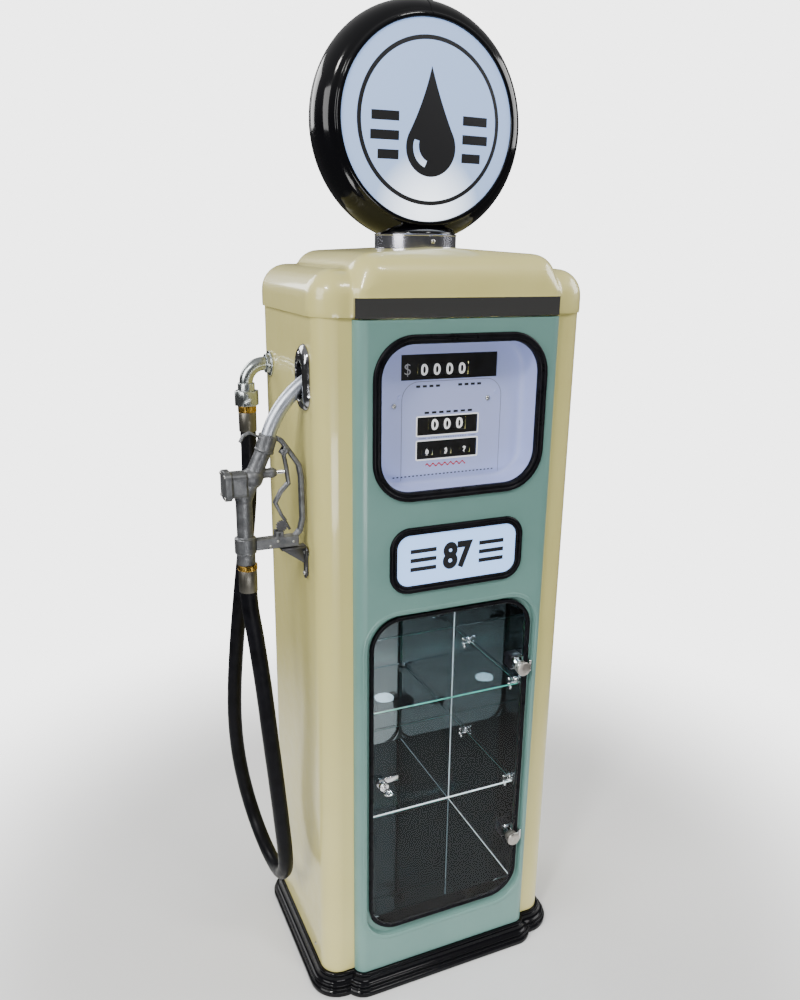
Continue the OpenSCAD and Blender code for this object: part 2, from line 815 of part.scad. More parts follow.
module nozzle_body() {
    color([0.5, 0.51, 0.53]) difference() {
        union() {
            rod(at_nozzle(spout_foot - 26 * along), at_nozzle(spout_foot), barrel_r);
            rod(at_nozzle(valve), at_nozzle(spout_foot - 20 * along), barrel_r - 1.5);
            translate(at_nozzle(valve)) sphere(20, $fn = 48);
            rod(at_nozzle([handle_x, 1036]), at_nozzle([handle_x, 1112]), 15);
            rod(at_nozzle([handle_x, 1108]), at_nozzle(valve), 15);
            translate(at_nozzle([handle_x, 1110])) sphere(16.2, $fn = 48);
            plate_yz(-424, 12) translate([nozzle_y, 1137]) offset(r = 14) square([20, 26], center = true);
            plate_yz(-412, 28) translate([nozzle_y, 1137]) offset(r = 10) square([18, 26], center = true);
            rod([valve[0], nozzle_y, stem_axis_z], [-334, nozzle_y, stem_axis_z], 9);
            rod(at_nozzle([handle_x, 1006]), at_nozzle([handle_x, 1036]), 20);
            rod(at_nozzle([handle_x, 984]), at_nozzle([handle_x, 1006]), 17);
            plate_xz(nozzle_y - 6, 12)
                bar([[-352, 1218], [-372, 1230], [-384, 1225], [-391, 1213]], 4);
        }
        rod([-372, nozzle_y, stem_axis_z], [-330, nozzle_y, stem_axis_z], stem_r + 0.05);
    }
}

// Loop round the lever, from the spout collar to the handle flange
module nozzle_guard() {
    color([0.45, 0.46, 0.48]) difference() {
        union() {
            plate_xz(nozzle_y - 7, 14)
                bar([[-334, 1221], [-316, 1212], [-298, 1186], [-284, 1164], [-280, 1140], [-279, 1060],
                    [-284, 1038], [-296, 1024]], 9);
            block([-370, nozzle_y - 11, 1010], [-289, nozzle_y + 11, 1030]);
            for (s = [-1, 1]) translate([0, nozzle_y + s * 8, 0])
                plate_xz(-1.5, 3) translate(rack_pivot - [0, 2]) square([16, 16], center = true);
            for (s = [-1, 1]) translate([0, nozzle_y + s * 7.75, 0])
                plate_xz(-1.5, 3) bar([lever_pivot + [6, 9], lever_pivot - [3, 4.5]], 11);
        }
        for (p = [rack_pivot, lever_pivot])
            translate([p[0], nozzle_y, p[1]]) rotate([90, 0, 0]) cylinder(r = 2.05, h = 60, center = true);
        rod(at_nozzle([handle_x, 1000]), at_nozzle([handle_x, 1040]), 20);
        rod(at_nozzle(spout_foot - 48 * along), at_nozzle(spout_foot + 14 * along), barrel_r + 0.05);
    }
}

// Trigger: forked at its pivot, cranked towards the handle, with an offset tail
module lever() {
    color([0.55, 0.56, 0.58]) {
        plate_xz(nozzle_y - 5.5, 11)
            bar([lever_pivot, [-307, 1160], [-304, 1131], [-319, 1116], [-330, 1096], [-319, 1071], [-312, 1060]], 6);
        plate_xz(nozzle_y - 5.5, 11) translate(lever_pivot) circle(4.5);
        plate_xz(nozzle_y + 1.5, 4) bar([[-314, 1064], [-303, 1040]], 5);
        translate([lever_pivot[0], nozzle_y, lever_pivot[1]]) rotate([90, 0, 0])
            cylinder(r = 2, h = 22, center = true);
    }
}

module stem() {
    color([0.7, 0.7, 0.72])
        rod([-350, nozzle_y, stem_axis_z], [-311.2, nozzle_y, stem_axis_z], stem_r);
}

module hold_open_rack() {
    color([0.12, 0.12, 0.13]) {
        plate_xz(nozzle_y - 5.5, 5) {
            bar([rack_pivot, rack_pivot + [6, 14]], 7);
            translate(rack_pivot + [5, 15]) circle(6, $fn = 32);
        }
        translate([rack_pivot[0], nozzle_y, rack_pivot[1]]) rotate([90, 0, 0])
            cylinder(r = 2, h = 24, center = true);
    }
}

module ferrule_nozzle() {
    color([0.72, 0.55, 0.25]) rod([-386, nozzle_y, 973], [-386, nozzle_y, 984], 17.5);
    color([0.6, 0.58, 0.54]) rod([-386, nozzle_y, 930], [-386, nozzle_y, 973], 16.5);
}

// ---------- hose line ----------

module elbow_flange() {
    color([0.75, 0.75, 0.76]) difference() {
        union() {
            translate([-side_x - 4, elbow_y, elbow_z]) rotate([0, 90, 0]) cylinder(r = 25, h = 4);
            translate([-side_x - 11, elbow_y, elbow_z]) rotate([0, 90, 0]) cylinder(r = 19, h = 8);
        }
        translate([-side_x - 20, elbow_y, elbow_z]) rotate([0, 90, 0]) cylinder(r = 13.5, h = 30);
    }
}

pipe_r = 13.5;

// Bent pipe of the given radius from inside the casing to the swivel
module elbow_form(r, extra) {
    start_x = hose_start_x + elbow_bend;
    translate([start_x, elbow_y, elbow_z]) rotate([0, 90, 0])
        cylinder(r = r, h = -side_x + 20 - start_x + extra);
    translate([start_x, elbow_y, elbow_z - elbow_bend]) rotate([90, 0, 0]) rotate([0, 0, 90])
        rotate_extrude(angle = 90, $fn = 96) translate([elbow_bend, 0]) circle(r, $fn = 32);
}

module hose_elbow() {
    color([0.75, 0.76, 0.76]) difference() {
        elbow_form(pipe_r, 0);
        elbow_form(pipe_r - 3.5, 1);
    }
}

module swivel_nut() {
    color([0.74, 0.75, 0.75]) translate([hose_start_x, elbow_y, 0]) {
        translate([0, 0, 1268]) cylinder(r = 17, h = elbow_z - elbow_bend - 1268);
        translate([0, 0, 1238]) cylinder(r = 24.8, h = 30, $fn = 6);
    }
}

module ferrule_top() {
    color([0.72, 0.55, 0.25]) translate([hose_start_x, elbow_y, 1224]) cylinder(r = 17, h = 14);
    color([0.6, 0.58, 0.54]) translate([hose_start_x, elbow_y, 1185]) cylinder(r = 17.8, h = 39);
}

// Smooth curve through the route: points between b and c
function curve_point(a, b, c, d, t) =
    0.5 * (2 * b + (c - a) * t + (2 * a - 5 * b + 4 * c - d) * t * t + (3 * b - a - 3 * c + d) * t * t * t);
last = len(hose_route) - 1;
hose_line = [
    for (i = [0 : last - 1], k = [0 : 1])
        curve_point(hose_route[max(i - 1, 0)], hose_route[i], hose_route[i + 1],
            hose_route[min(i + 2, last)], k / 2),
    hose_route[last]
];
hose_sides = 12;

// Ring of points round a point of the line; the two ends are square to the fittings
function hose_ring(i) =
    let (n = len(hose_line) - 1)
    let (way = (i == 0 || i == n) ? [0, 0, (i == 0) ? -1 : 1] : unit(hose_line[i + 1] - hose_line[i - 1]))
    let (across = unit(cross(way, [1, 0, 0])))
    let (other = cross(way, across))
    [for (j = [0 : hose_sides - 1]) let (a = 360 * j / hose_sides)
        hose_line[i] + hose_d / 2 * (cos(a) * across + sin(a) * other)];

module hose() {
    n = len(hose_line);
    rings = [for (i = [0 : n - 1]) each hose_ring(i)];
    ends = [[for (j = [0 : hose_sides - 1]) hose_sides - 1 - j],
        [for (j = [0 : hose_sides - 1]) (n - 1) * hose_sides + j]];
    walls = [for (i = [0 : n - 2], j = [0 : hose_sides - 1]) let (k = (j + 1) % hose_sides)
        each [[i * hose_sides + j, i * hose_sides + k, (i + 1) * hose_sides + k],
            [i * hose_sides + j, (i + 1) * hose_sides + k, (i + 1) * hose_sides + j]]];
    color([0.04, 0.04, 0.05]) polyhedron(points = rings, faces = concat([ends[0]], walls, [ends[1]]));
}

// ---------- mains inlet ----------

module mains_inlet() {
    x = inlet_pos[0];
    z = inlet_pos[1];
    color([0.05, 0.05, 0.06]) difference() {
        union() {
            block([x - 24, rear_y - 26, z - 14], [x + 24, rear_y - sheet_t, z + 14]);
            block([x - 30, rear_y - sheet_t, z - 18], [x + 30, rear_y + 1, z + 18]);
        }
        block([x - 13, rear_y - 18, z - 10], [x + 13, rear_y + 5, z + 10]);
    }
    color([0.75, 0.7, 0.55]) for (dx = [-7, 0, 7])
        block([x + dx - 2, rear_y - 18, z - 5], [x + dx + 2, rear_y - 6, z - 3]);
}

base_plinth();
left_side_panel();
right_side_panel();
back_panel();
top_deck();
front_panel();
trim_strip();
cap();
globe_collar();
globe_body();
globe_bezels();
globe_lenses();
globe_lamp();
screws();
dial_gasket();
dial_glass();
dial_housing();
dial_face();
counter_frame();
sale_wheel(0);  // sale_wheel_1
sale_wheel(1);  // sale_wheel_2
sale_wheel(2);  // sale_wheel_3
sale_wheel(3);  // sale_wheel_4
volume_wheel(0);  // volume_wheel_1
volume_wheel(1);  // volume_wheel_2
volume_wheel(2);  // volume_wheel_3
price_wheel(0);  // price_wheel_1
price_wheel(1);  // price_wheel_2
price_wheel(2);  // price_wheel_3
ad_gasket();
ad_panel();
ad_lamp();
back_mirror();
side_mirrors();
floor_mirror();
cabinet_ceiling();
puck_light();
glass_shelves();
shelf_clips();
door_hinges();
door_glass();
door_edge();
hinge_caps();
lock_barrel();
lock_cam();
nozzle_boot();
hook_bracket();
nozzle_body();
nozzle_spout();
nozzle_guard();
ferrule_nozzle();
lever();
stem();
hold_open_rack();
elbow_flange();
hose_elbow();
swivel_nut();
ferrule_top();
hose();
mains_inlet();
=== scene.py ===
"""Looks of the retro fuel pump display cabinet: camera, studio, materials and detailed pieces."""
import json
import math
from contextlib import contextmanager

import bmesh
import bpy
from mathutils import Matrix, Vector


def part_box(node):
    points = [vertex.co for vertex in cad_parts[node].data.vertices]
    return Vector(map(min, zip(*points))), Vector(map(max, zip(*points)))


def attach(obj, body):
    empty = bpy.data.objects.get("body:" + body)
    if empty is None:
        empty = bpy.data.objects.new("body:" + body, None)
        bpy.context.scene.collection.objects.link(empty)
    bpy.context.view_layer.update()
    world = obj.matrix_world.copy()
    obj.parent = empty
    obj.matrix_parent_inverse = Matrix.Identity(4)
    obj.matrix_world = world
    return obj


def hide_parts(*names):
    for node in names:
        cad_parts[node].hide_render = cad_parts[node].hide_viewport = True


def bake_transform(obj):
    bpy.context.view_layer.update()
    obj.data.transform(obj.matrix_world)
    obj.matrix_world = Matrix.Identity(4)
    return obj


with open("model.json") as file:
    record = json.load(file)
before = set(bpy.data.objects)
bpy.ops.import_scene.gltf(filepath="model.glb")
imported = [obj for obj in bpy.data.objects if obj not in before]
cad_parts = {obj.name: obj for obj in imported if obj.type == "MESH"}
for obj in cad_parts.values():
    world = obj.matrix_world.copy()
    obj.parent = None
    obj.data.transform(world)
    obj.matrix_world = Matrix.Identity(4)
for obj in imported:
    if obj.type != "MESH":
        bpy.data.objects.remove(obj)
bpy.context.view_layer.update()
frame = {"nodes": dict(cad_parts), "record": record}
NODES = frame["nodes"]
MM = 0.001

# ---------- places taken from the frame ----------

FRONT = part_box("front_panel")[0].y
PANEL_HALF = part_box("front_panel")[1].x / MM
SIDE_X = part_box("right_side_panel")[1].x
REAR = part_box("right_side_panel")[1].y
CASING_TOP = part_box("right_side_panel")[1].z
CAP_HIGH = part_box("cap")[1]


def centre(node):
    low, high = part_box(node)
    return (low + high) / 2


GLOBE_CENTRE = centre("globe_body")


# ---------- camera ----------

CAMERA_PLACE = Vector((-0.7321, -1.5877, 1.5516))
CAMERA_HEADING = math.radians(24.33)
CAMERA_PITCH = math.radians(17.49)
CAMERA_ROLL = math.radians(-0.92)
CAMERA_LENS = 31.03
CAMERA_SHIFT = (-0.008, 0.0162)


def make_camera():
    data = bpy.data.cameras.new("camera")
    data.lens = CAMERA_LENS
    data.sensor_width = 36
    data.shift_x, data.shift_y = CAMERA_SHIFT
    data.clip_start = 0.05
    data.clip_end = 100
    camera = bpy.data.objects.new("camera", data)
    bpy.context.scene.collection.objects.link(camera)
    along = Vector((math.sin(CAMERA_HEADING), math.cos(CAMERA_HEADING), 0)) * math.cos(CAMERA_PITCH)
    along.z = -math.sin(CAMERA_PITCH)
    level = Vector((math.cos(CAMERA_HEADING), -math.sin(CAMERA_HEADING), 0))
    down = along.cross(level)
    right = level * math.cos(CAMERA_ROLL) + down * math.sin(CAMERA_ROLL)
    under = down * math.cos(CAMERA_ROLL) - level * math.sin(CAMERA_ROLL)
    turn = Matrix((right, -under, -along)).transposed()
    camera.matrix_world = Matrix.Translation(CAMERA_PLACE) @ turn.to_4x4()
    bpy.context.scene.camera = camera


make_camera()

# ---------- mesh helpers ----------


def new_object(name, data):
    obj = bpy.data.objects.new(name, data)
    bpy.context.scene.collection.objects.link(obj)
    return obj


@contextmanager
def editing(mesh):
    """Lends a mesh for changes and writes them back."""
    work = bmesh.new()
    work.from_mesh(mesh)
    yield work
    work.to_mesh(mesh)
    work.free()


def soften(mesh, angle=35):
    """Smooth shading, with edges sharper than the angle left crisp."""
    limit = math.radians(angle)
    with editing(mesh) as work:
        for face in work.faces:
            face.smooth = True
        for edge in work.edges:
            edge.smooth = len(edge.link_faces) != 2 or edge.calc_face_angle(0) < limit


def mesh_object(name, points, faces, material=None, angle=35):
    mesh = bpy.data.meshes.new(name)
    mesh.from_pydata([tuple(p) for p in points], [], faces)
    mesh.validate()
    with editing(mesh) as work:
        bmesh.ops.recalc_face_normals(work, faces=work.faces)
    soften(mesh, angle)
    obj = new_object(name, mesh)
    if material:
        mesh.materials.append(material)
    return obj


def ring_faces(rings, size, closed_rings=False, caps=True):
    """Faces between rings of points that were listed ring after ring."""
    faces = []
    for i in range(rings if closed_rings else rings - 1):
        k = (i + 1) % rings
        for j in range(size):
            m = (j + 1) % size
            faces.append((i * size + j, i * size + m, k * size + m, k * size + j))
    if caps and not closed_rings:
        faces.append(tuple(range(size))[::-1])
        faces.append(tuple(range((rings - 1) * size, rings * size)))
    return faces


def spokes(axis, steps):
    """The axis as a unit vector, and unit spokes all round it."""
    axis = Vector(axis).normalized()
    side = axis.orthogonal().normalized()
    other = axis.cross(side)
    turns = [2 * math.pi * j / steps for j in range(steps)]
    return axis, [side * math.cos(a) + other * math.sin(a) for a in turns]


def lathe(name, profile, base, axis, material, steps=48, angle=35):
    """Turned solid: profile lists (radius, height) along the axis from the base point."""
    axis, around = spokes(axis, steps)
    base = Vector(base) * MM
    points = [
        base + (axis * height + spoke * radius) * MM for radius, height in profile for spoke in around
    ]
    return mesh_object(name, points, ring_faces(len(profile), steps), material, angle)


def ring_lathe(name, profile, base, axis, material, steps=96, angle=35):
    """Turned ring: the profile is a closed loop of (radius, height)."""
    axis, around = spokes(axis, steps)
    base = Vector(base) * MM
    points = [
        base + (axis * height + spoke * radius) * MM for spoke in around for radius, height in profile
    ]
    faces = ring_faces(steps, len(profile), closed_rings=True)
    return mesh_object(name, points, faces, material, angle)


def arc(cx, cy, radius, start, stop, steps):
    """Points on an arc, angles in degrees."""
    return [
        (cx + radius * math.cos(math.radians(a)), cy + radius * math.sin(math.radians(a)))
        for a in (start + (stop - start) * i / steps for i in range(steps + 1))
    ]


def rounded_rect(width, low, high, radius, steps=10):
    """Closed outline with its outward direction: (x, z, nx, nz), in millimetres."""
    path = []
    half = width / 2 - radius
    corners = (
        (half, high - radius, 0), (-half, high - radius, 90), (-half, low + radius, 180),
        (half, low + radius, 270),
    )
    for cx, cz, start in corners:
        for c, s in arc(0, 0, 1, start, start + 90, steps):
            path.append((cx + radius * c, cz + radius * s, c, s))
    return path


def facing_front(y0):
    """Places drawing millimetres (across, up, forward) in front of the plane y0."""
    return lambda u, v, forward: Vector((u, y0 - forward, v)) * MM


def facing_left(x0):
    return lambda u, v, forward: Vector((x0 - forward, u, v)) * MM


def frame_sweep(name, path, profile, place, material, angle=35):
    """Sweeps a closed profile of (outward, forward) millimetres round an outline."""
    points = [
        place(u + nu * out, v + nv * out, forward) for u, v, nu, nv in path for out, forward in profile
    ]
    faces = ring_faces(len(path), len(profile), closed_rings=True)
    return mesh_object(name, points, faces, material, angle)


def cut_grid(work, step_u, step_v):
    """Cuts a flat shape along a grid, so that it can be bent."""
    for axis, step in ((0, step_u), (1, step_v)):
        if not step:
            continue
        low = min(v.co[axis] for v in work.verts)
        high = max(v.co[axis] for v in work.verts)
        for i in range(math.ceil(low / step), math.floor(high / step) + 1):
            normal = Vector((1 - axis, axis, 0))
            bmesh.ops.bisect_plane(
                work, geom=work.verts[:] + work.edges[:] + work.faces[:], dist=1e-5,
                plane_co=normal * i * step, plane_no=normal,
            )


def print_on(name, shapes, place, material, thick=0.3, steps=(12, 12)):
    """Thin raised print: flat outlines in millimetres, bent by place(u, v, forward)."""
    work = bmesh.new()
    for outline in shapes:
        work.faces.new([work.verts.new((u, v, 0)) for u, v in outline])
    raise_print(work, place, thick, steps)
    return bmesh_object(name, work, material)


def raise_print(work, place, thick, steps):
    bmesh.ops.triangulate(work, faces=work.faces)
    cut_grid(work, *steps)
    back = work.verts[:]
    grown = bmesh.ops.extrude_face_region(work, geom=work.faces[:])
    front = [v for v in grown["geom"] if isinstance(v, bmesh.types.BMVert)]
    for group, forward in ((back, 0), (front, thick)):
        for vert in group:
            vert.co = place(vert.co.x, vert.co.y, forward)


def bmesh_object(name, work, material, angle=35):
    bmesh.ops.recalc_face_normals(work, faces=work.faces)
    mesh = bpy.data.meshes.new(name)
    work.to_mesh(mesh)
    work.free()
    mesh.materials.append(material)
    soften(mesh, angle)
    return new_object(name, mesh)


def numeral(text, height, place, name, material, stretch=1.0, weight=0.02, thick=0.3, steps=(0, 2)):
    """Raised numerals centred on the drawing origin, as high as asked."""
    curve = bpy.data.curves.new(name, "FONT")
    curve.body = text
    curve.offset = weight
    curve.resolution_u = 8
    probe = new_object(name + "_outline", curve)
    bpy.context.view_layer.update()
    flat = bpy.data.meshes.new_from_object(probe.evaluated_get(bpy.context.evaluated_depsgraph_get()))
    bpy.data.objects.remove(probe)
    work = bmesh.new()
    work.from_mesh(flat)
    bpy.data.meshes.remove(flat)
    bmesh.ops.remove_doubles(work, verts=work.verts, dist=1e-5)
    spans = [(min(v.co[i] for v in work.verts), max(v.co[i] for v in work.verts)) for i in (0, 1)]
    scale = height / (spans[1][1] - spans[1][0])
    for vert in work.verts:
        vert.co.x = (vert.co.x - sum(spans[0]) / 2) * scale * stretch
        vert.co.y = (vert.co.y - sum(spans[1]) / 2) * scale
        vert.co.z = 0
    raise_print(work, place, thick, steps)
    return bmesh_object(name, work, material)


def bar_shape(u0, u1, v0, v1):
    return [(u0, v0), (u1, v0), (u1, v1), (u0, v1)]


def node_copy(name, node, material):
    """Copy of a CAD node's mesh in one material."""
    mesh = NODES[node].data.copy()
    mesh.name = name
    mesh.materials.clear()
    mesh.materials.append(material)
    return mesh


def bevelled_copy(name, node, width, material, segments=3, angle=30):
    """Copy of a CAD node with rounded edges, which stands for the node."""
    mesh = node_copy(name, node, material)
    with editing(mesh) as work:
        bmesh.ops.remove_doubles(work, verts=work.verts, dist=0.00002)
        bmesh.ops.dissolve_limit(work, angle_limit=math.radians(1.5), verts=work.verts, edges=work.edges)
    obj = new_object(name, mesh)
    bevel = obj.modifiers.new("edges", "BEVEL")
    bevel.width = width * MM
    bevel.segments = segments
    bevel.limit_method = "ANGLE"
    bevel.angle_limit = math.radians(angle)
    bevel.harden_normals = True
    bake_modifiers(obj)
    soften(obj.data, 30)
    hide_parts(node)
    return obj


def smoothed(obj, voxel, factor, passes):
    """Evens the mesh out on a grid of voxels in millimetres, and rounds its corners."""
    remesh = obj.modifiers.new("even", "REMESH")
    remesh.mode = "VOXEL"
    remesh.voxel_size = voxel * MM
    smooth = obj.modifiers.new("soft", "SMOOTH")
    smooth.factor = factor
    smooth.iterations = passes
    bake_modifiers(obj)


def bake_modifiers(obj):
    bpy.context.view_layer.update()
    graph = bpy.context.evaluated_depsgraph_get()
    mesh = bpy.data.meshes.new_from_object(obj.evaluated_get(graph))
    obj.modifiers.clear()
    obj.data = mesh


def join(name, objects):
    """One mesh object from several, each with its modifiers applied."""
    graph = bpy.context.evaluated_depsgraph_get()
    work = bmesh.new()
    materials = []
    for obj in objects:
        mesh = bpy.data.meshes.new_from_object(obj.evaluated_get(graph))
        mesh.transform(obj.matrix_world)
        offset = len(materials)
        materials += [slot.material for slot in obj.material_slots]
        start = len(work.faces)
        work.from_mesh(mesh)
        work.faces.ensure_lookup_table()
        for face in work.faces[start:]:
            face.material_index += offset
        bpy.data.meshes.remove(mesh)
    whole = bpy.data.meshes.new(name)
    work.to_mesh(whole)
    work.free()
    for material in materials:
        whole.materials.append(material)
    for obj in objects:
        bpy.data.objects.remove(obj)
    return new_object(name, whole)


def finish_piece(obj, body, slot, *nodes):
    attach(obj, body)
    if nodes:
        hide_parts(*nodes)
    return obj


# ---------- materials ----------


# materials by name, so that each CAD node finds the one of its slot
MADE = {}


def shader(name, color, rough, metal=0.0, coat=0.0, coat_rough=0.05, **sockets):
    material = bpy.data.materials.new(name)
    material.use_nodes = True
    core = material.node_tree.nodes["Principled BSDF"]
    core.inputs["Base Color"].default_value = (*color, 1)
    core.inputs["Roughness"].default_value = rough
    core.inputs["Metallic"].default_value = metal
    core.inputs["Coat Weight"].default_value = coat
    core.inputs["Coat Roughness"].default_value = coat_rough
    for socket, value in sockets.items():
        core.inputs[socket.replace("_", " ")].default_value = value
    MADE[name] = material
    return material


def add_node(tree, kind, **sockets):
    """New shader node: each socket is given a value, or the output that feeds it."""
    node = tree.nodes.new("ShaderNode" + kind)
    for name, value in sockets.items():
        socket = node.inputs[name.replace("_", " ")]
        if isinstance(value, bpy.types.NodeSocket):
            tree.links.new(value, socket)
        else:
            socket.default_value = value
    return node


def feed(material, output, *sockets):
    """Lets an output drive sockets of the material."""
    tree = material.node_tree
    for socket in sockets:
        tree.links.new(output, tree.nodes["Principled BSDF"].inputs[socket])


def place_node(tree):
    """Coordinates that stay with the object, in metres."""
    return tree.nodes.new("ShaderNodeTexCoord").outputs["Object"]


def noise(material, scale, detail, stretch):
    tree = material.node_tree
    spot = add_node(tree, "Mapping", Scale=stretch, Vector=place_node(tree)).outputs["Vector"]
    return add_node(tree, "TexNoise", Scale=scale, Detail=detail, Vector=spot).outputs["Fac"]


def ramp(tree, source, stops):
    """Colours along a value."""
    node = add_node(tree, "ValToRGB", Fac=source)
    while len(node.color_ramp.elements) < len(stops):
        node.color_ramp.elements.new(0.5)
    for stop, (position, color) in zip(node.color_ramp.elements, stops):
        stop.position = position
        stop.color = (*color, 1)
    return node.outputs["Color"]


def spread(tree, source, low, high, start, stop):
    """Stretches the span from start to stop over the span from low to high."""
    ends = {"From_Min": start, "From_Max": stop, "To_Min": low, "To_Max": high}
    return add_node(tree, "MapRange", Value=source, **ends)


def vary_color(material, low, high, scale, detail=4):
    """Colour that wanders between two tones."""
    source = noise(material, scale, detail, (1, 1, 1))
    feed(material, ramp(material.node_tree, source, ((0.35, low), (0.65, high))), "Base Color")


def vary_rough(material, low, high, scale, stretch=(1, 1, 1)):
    source = noise(material, scale, 4, stretch)
    feed(material, spread(material.node_tree, source, low, high, 0.3, 0.7).outputs["Result"], "Roughness")


def bump(material, scale, strength, distance, detail=3, stretch=(1, 1, 1), coat=False):
    height = noise(material, scale, detail, stretch)
    node = add_node(material.node_tree, "Bump", Strength=strength, Distance=distance, Height=height)
    feed(material, node.outputs["Normal"], *(["Normal", "Coat Normal"] if coat else ["Normal"]))


def cream_paint():
    material = shader("cream_paint", (0.615, 0.555, 0.205), 0.34, coat=0.6, coat_rough=0.05)
    vary_color(material, (0.6, 0.54, 0.197), (0.63, 0.57, 0.215), 5)
    vary_rough(material, 0.28, 0.4, 40)
    bump(material, 260, 0.12, 0.0004, coat=True)
    return material


def teal_paint():
    material = shader("teal_paint", (0.135, 0.27, 0.24), 0.4, coat=0.3, coat_rough=0.14)
    vary_color(material, (0.128, 0.258, 0.229), (0.143, 0.283, 0.252), 6)
    vary_rough(material, 0.33, 0.46, 40)
    bump(material, 300, 0.1, 0.0004, coat=True)
    return material


def black_gloss(name, shine):
    material = shader(
        name, (0.003, 0.003, 0.004), 0.1, coat=shine, coat_rough=0.03, Specular_IOR_Level=shine,
    )
    vary_rough(material, 0.08, 0.14, 18)
    bump(material, 60, 0.05, 0.0006)
    return material


def black_rubber(name, rough=0.38):
    material = shader(name, (0.004, 0.004, 0.005), rough, Specular_IOR_Level=0.08)
    vary_color(material, (0.003, 0.003, 0.004), (0.006, 0.006, 0.008), 30)
    vary_rough(material, rough - 0.06, rough + 0.12, 60)
    bump(material, 900, 0.1, 0.0002)
    return material


def chrome(name, color=(0.83, 0.83, 0.84), rough=0.07):
    material = shader(name, color, rough, metal=1.0)
    vary_rough(material, rough * 0.6, rough * 1.8, 90)
    bump(material, 40, 0.04, 0.0005)
    return material


def cast_metal():
    material = shader("cast_grey", (0.13, 0.133, 0.14), 0.38, metal=0.75)
    vary_color(material, (0.095, 0.098, 0.104), (0.16, 0.164, 0.172), 70, detail=6)
    vary_rough(material, 0.36, 0.55, 120)
    bump(material, 420, 0.35, 0.0006, detail=5)
    return material


def brushed(name, color, rough, stretch):
    material = shader(name, color, rough, metal=1.0)
    vary_rough(material, rough * 0.85, rough * 1.2, 140, stretch=stretch)
    bump(material, 260, 0.05, 0.0002, stretch=stretch)
    return material


def glass(name, ior):
    """Thin clear pane: a mirror as strong as glass is at that slant, and clear for the rest."""
    material = shader(name, (1, 1, 1), 0.0, metal=1.0)
    tree = material.node_tree
    in_front = tree.nodes.new("ShaderNodeMath")
    in_front.operation = "SUBTRACT"
    in_front.use_clamp = True
    tree.links.new(add_node(tree, "Fresnel", IOR=ior).outputs["Fac"], in_front.inputs[0])
    tree.links.new(add_node(tree, "NewGeometry").outputs["Backfacing"], in_front.inputs[1])
    feed(material, in_front.outputs["Value"], "Alpha")
    return material


def lit(name, color, strength, rough=0.3):
    return shader(name, color, rough, Emission_Color=(*color, 1), Emission_Strength=strength)


CREAM = cream_paint()
TEAL = teal_paint()
BASE_BLACK = black_gloss("base_black", 0.09)
GLOBE_BLACK = black_gloss("globe_black", 0.2)
RUBBER = black_rubber("glazing_rubber", 0.3)
HOSE_RUBBER = black_rubber("hose_rubber", 0.34)
CHROME = chrome("chrome_fittings")
chrome("bright_trim", (0.78, 0.77, 0.75), 0.05)
CAST = cast_metal()
brushed("spout_aluminium", (0.44, 0.47, 0.53), 0.4, (1, 1, 0.15))
ZINC = brushed("zinc_pipe", (0.4, 0.43, 0.43), 0.24, (1, 1, 0.3))
FERRULE = brushed("ferrule_steel", (0.15, 0.142, 0.122), 0.42, (6, 6, 0.1))
BRASS = chrome("ferrule_brass", (0.33, 0.2, 0.04), 0.25)
BOOT_CHROME = chrome("boot_chrome", (0.34, 0.34, 0.35), 0.1)
KNOB_CHROME = chrome("knob_chrome", (0.5, 0.47, 0.43), 0.3)
SCREW = chrome("screw_steel", (0.5, 0.5, 0.48), 0.25)
IRON = shader("hook_iron", (0.08, 0.08, 0.085), 0.32, metal=0.8)
HOUSING = shader("housing_grey", (0.5, 0.53, 0.68), 0.4)
# The dial face and its well glow faintly: painted light in place of the lamp that lights the dial from
# inside.
FACE = lit("face_white", (0.44, 0.5, 0.8), 0.08, rough=0.4)
COUNTER = shader("counter_black", (0.004, 0.0035, 0.003), 0.35)
WHEEL = shader("wheel_black", (0.004, 0.004, 0.004), 0.4)
# White print glows: painted light that keeps the digits and window rims bright.
PRINT_WHITE = lit("print_white", (0.9, 0.9, 0.88), 0.5, rough=0.4)
PRINT_BLACK = shader("print_black", (0.01, 0.01, 0.012), 0.4)
PRINT_RED = shader("print_red", (0.5, 0.004, 0.01), 0.4)
PRINT_GREY = shader("print_grey", (0.42, 0.42, 0.42), 0.4)
glass("clear_glass", 1.3)
glass("shelf_glass", 1.5)
shader("tinted_mirror", (0.19, 0.235, 0.25), 0.02, metal=1.0)
# The sign panel glows in place of the lamp behind it: painted light.
lit("sign_white", (0.36, 0.58, 1.0), 1.15)
lit("lamp_white", (0.8, 0.9, 1.0), 130.0)
# Glass edges that glow faint green: painted light along the mirror and shelf edges.
GLASS_EDGE = lit("glass_edge", (0.04, 0.25, 0.2), 0.14, rough=0.15)
SIDE_EDGE = shader("side_edge", (0.03, 0.1, 0.09), 0.2)
# Pale edge that glows: a painted highlight along mirror and shelf edges.
PAINTED_HIGHLIGHT_EDGE = lit("painted_highlight_edge", (0.7, 0.8, 0.85), 0.55, rough=0.15)


def lens_glass():
    """Frosted lens that glows in place of the lamp inside the globe: painted light, brightest near its foot
    as a painted pool of lamp light.
    """
    material = lit("lens_white", (0.4, 0.5, 0.68), 1.0, rough=0.12)
    tree = material.node_tree
    away = tree.nodes.new("ShaderNodeVectorMath")
    away.operation = "DISTANCE"
    away.inputs[1].default_value = (0.0, 0.018, GLOBE_CENTRE.z - 0.148)
    tree.links.new(place_node(tree), away.inputs[0])
    # Painted light: the glow is strongest near the foot of the lens and fades to blue above.
    glow = ramp(tree, away.outputs["Value"], ((0.045, (2.6, 2.7, 2.8)), (0.12, (0.19, 0.34, 0.7))))
    feed(material, glow, "Emission Color")
    return material


LENS = lens_glass()

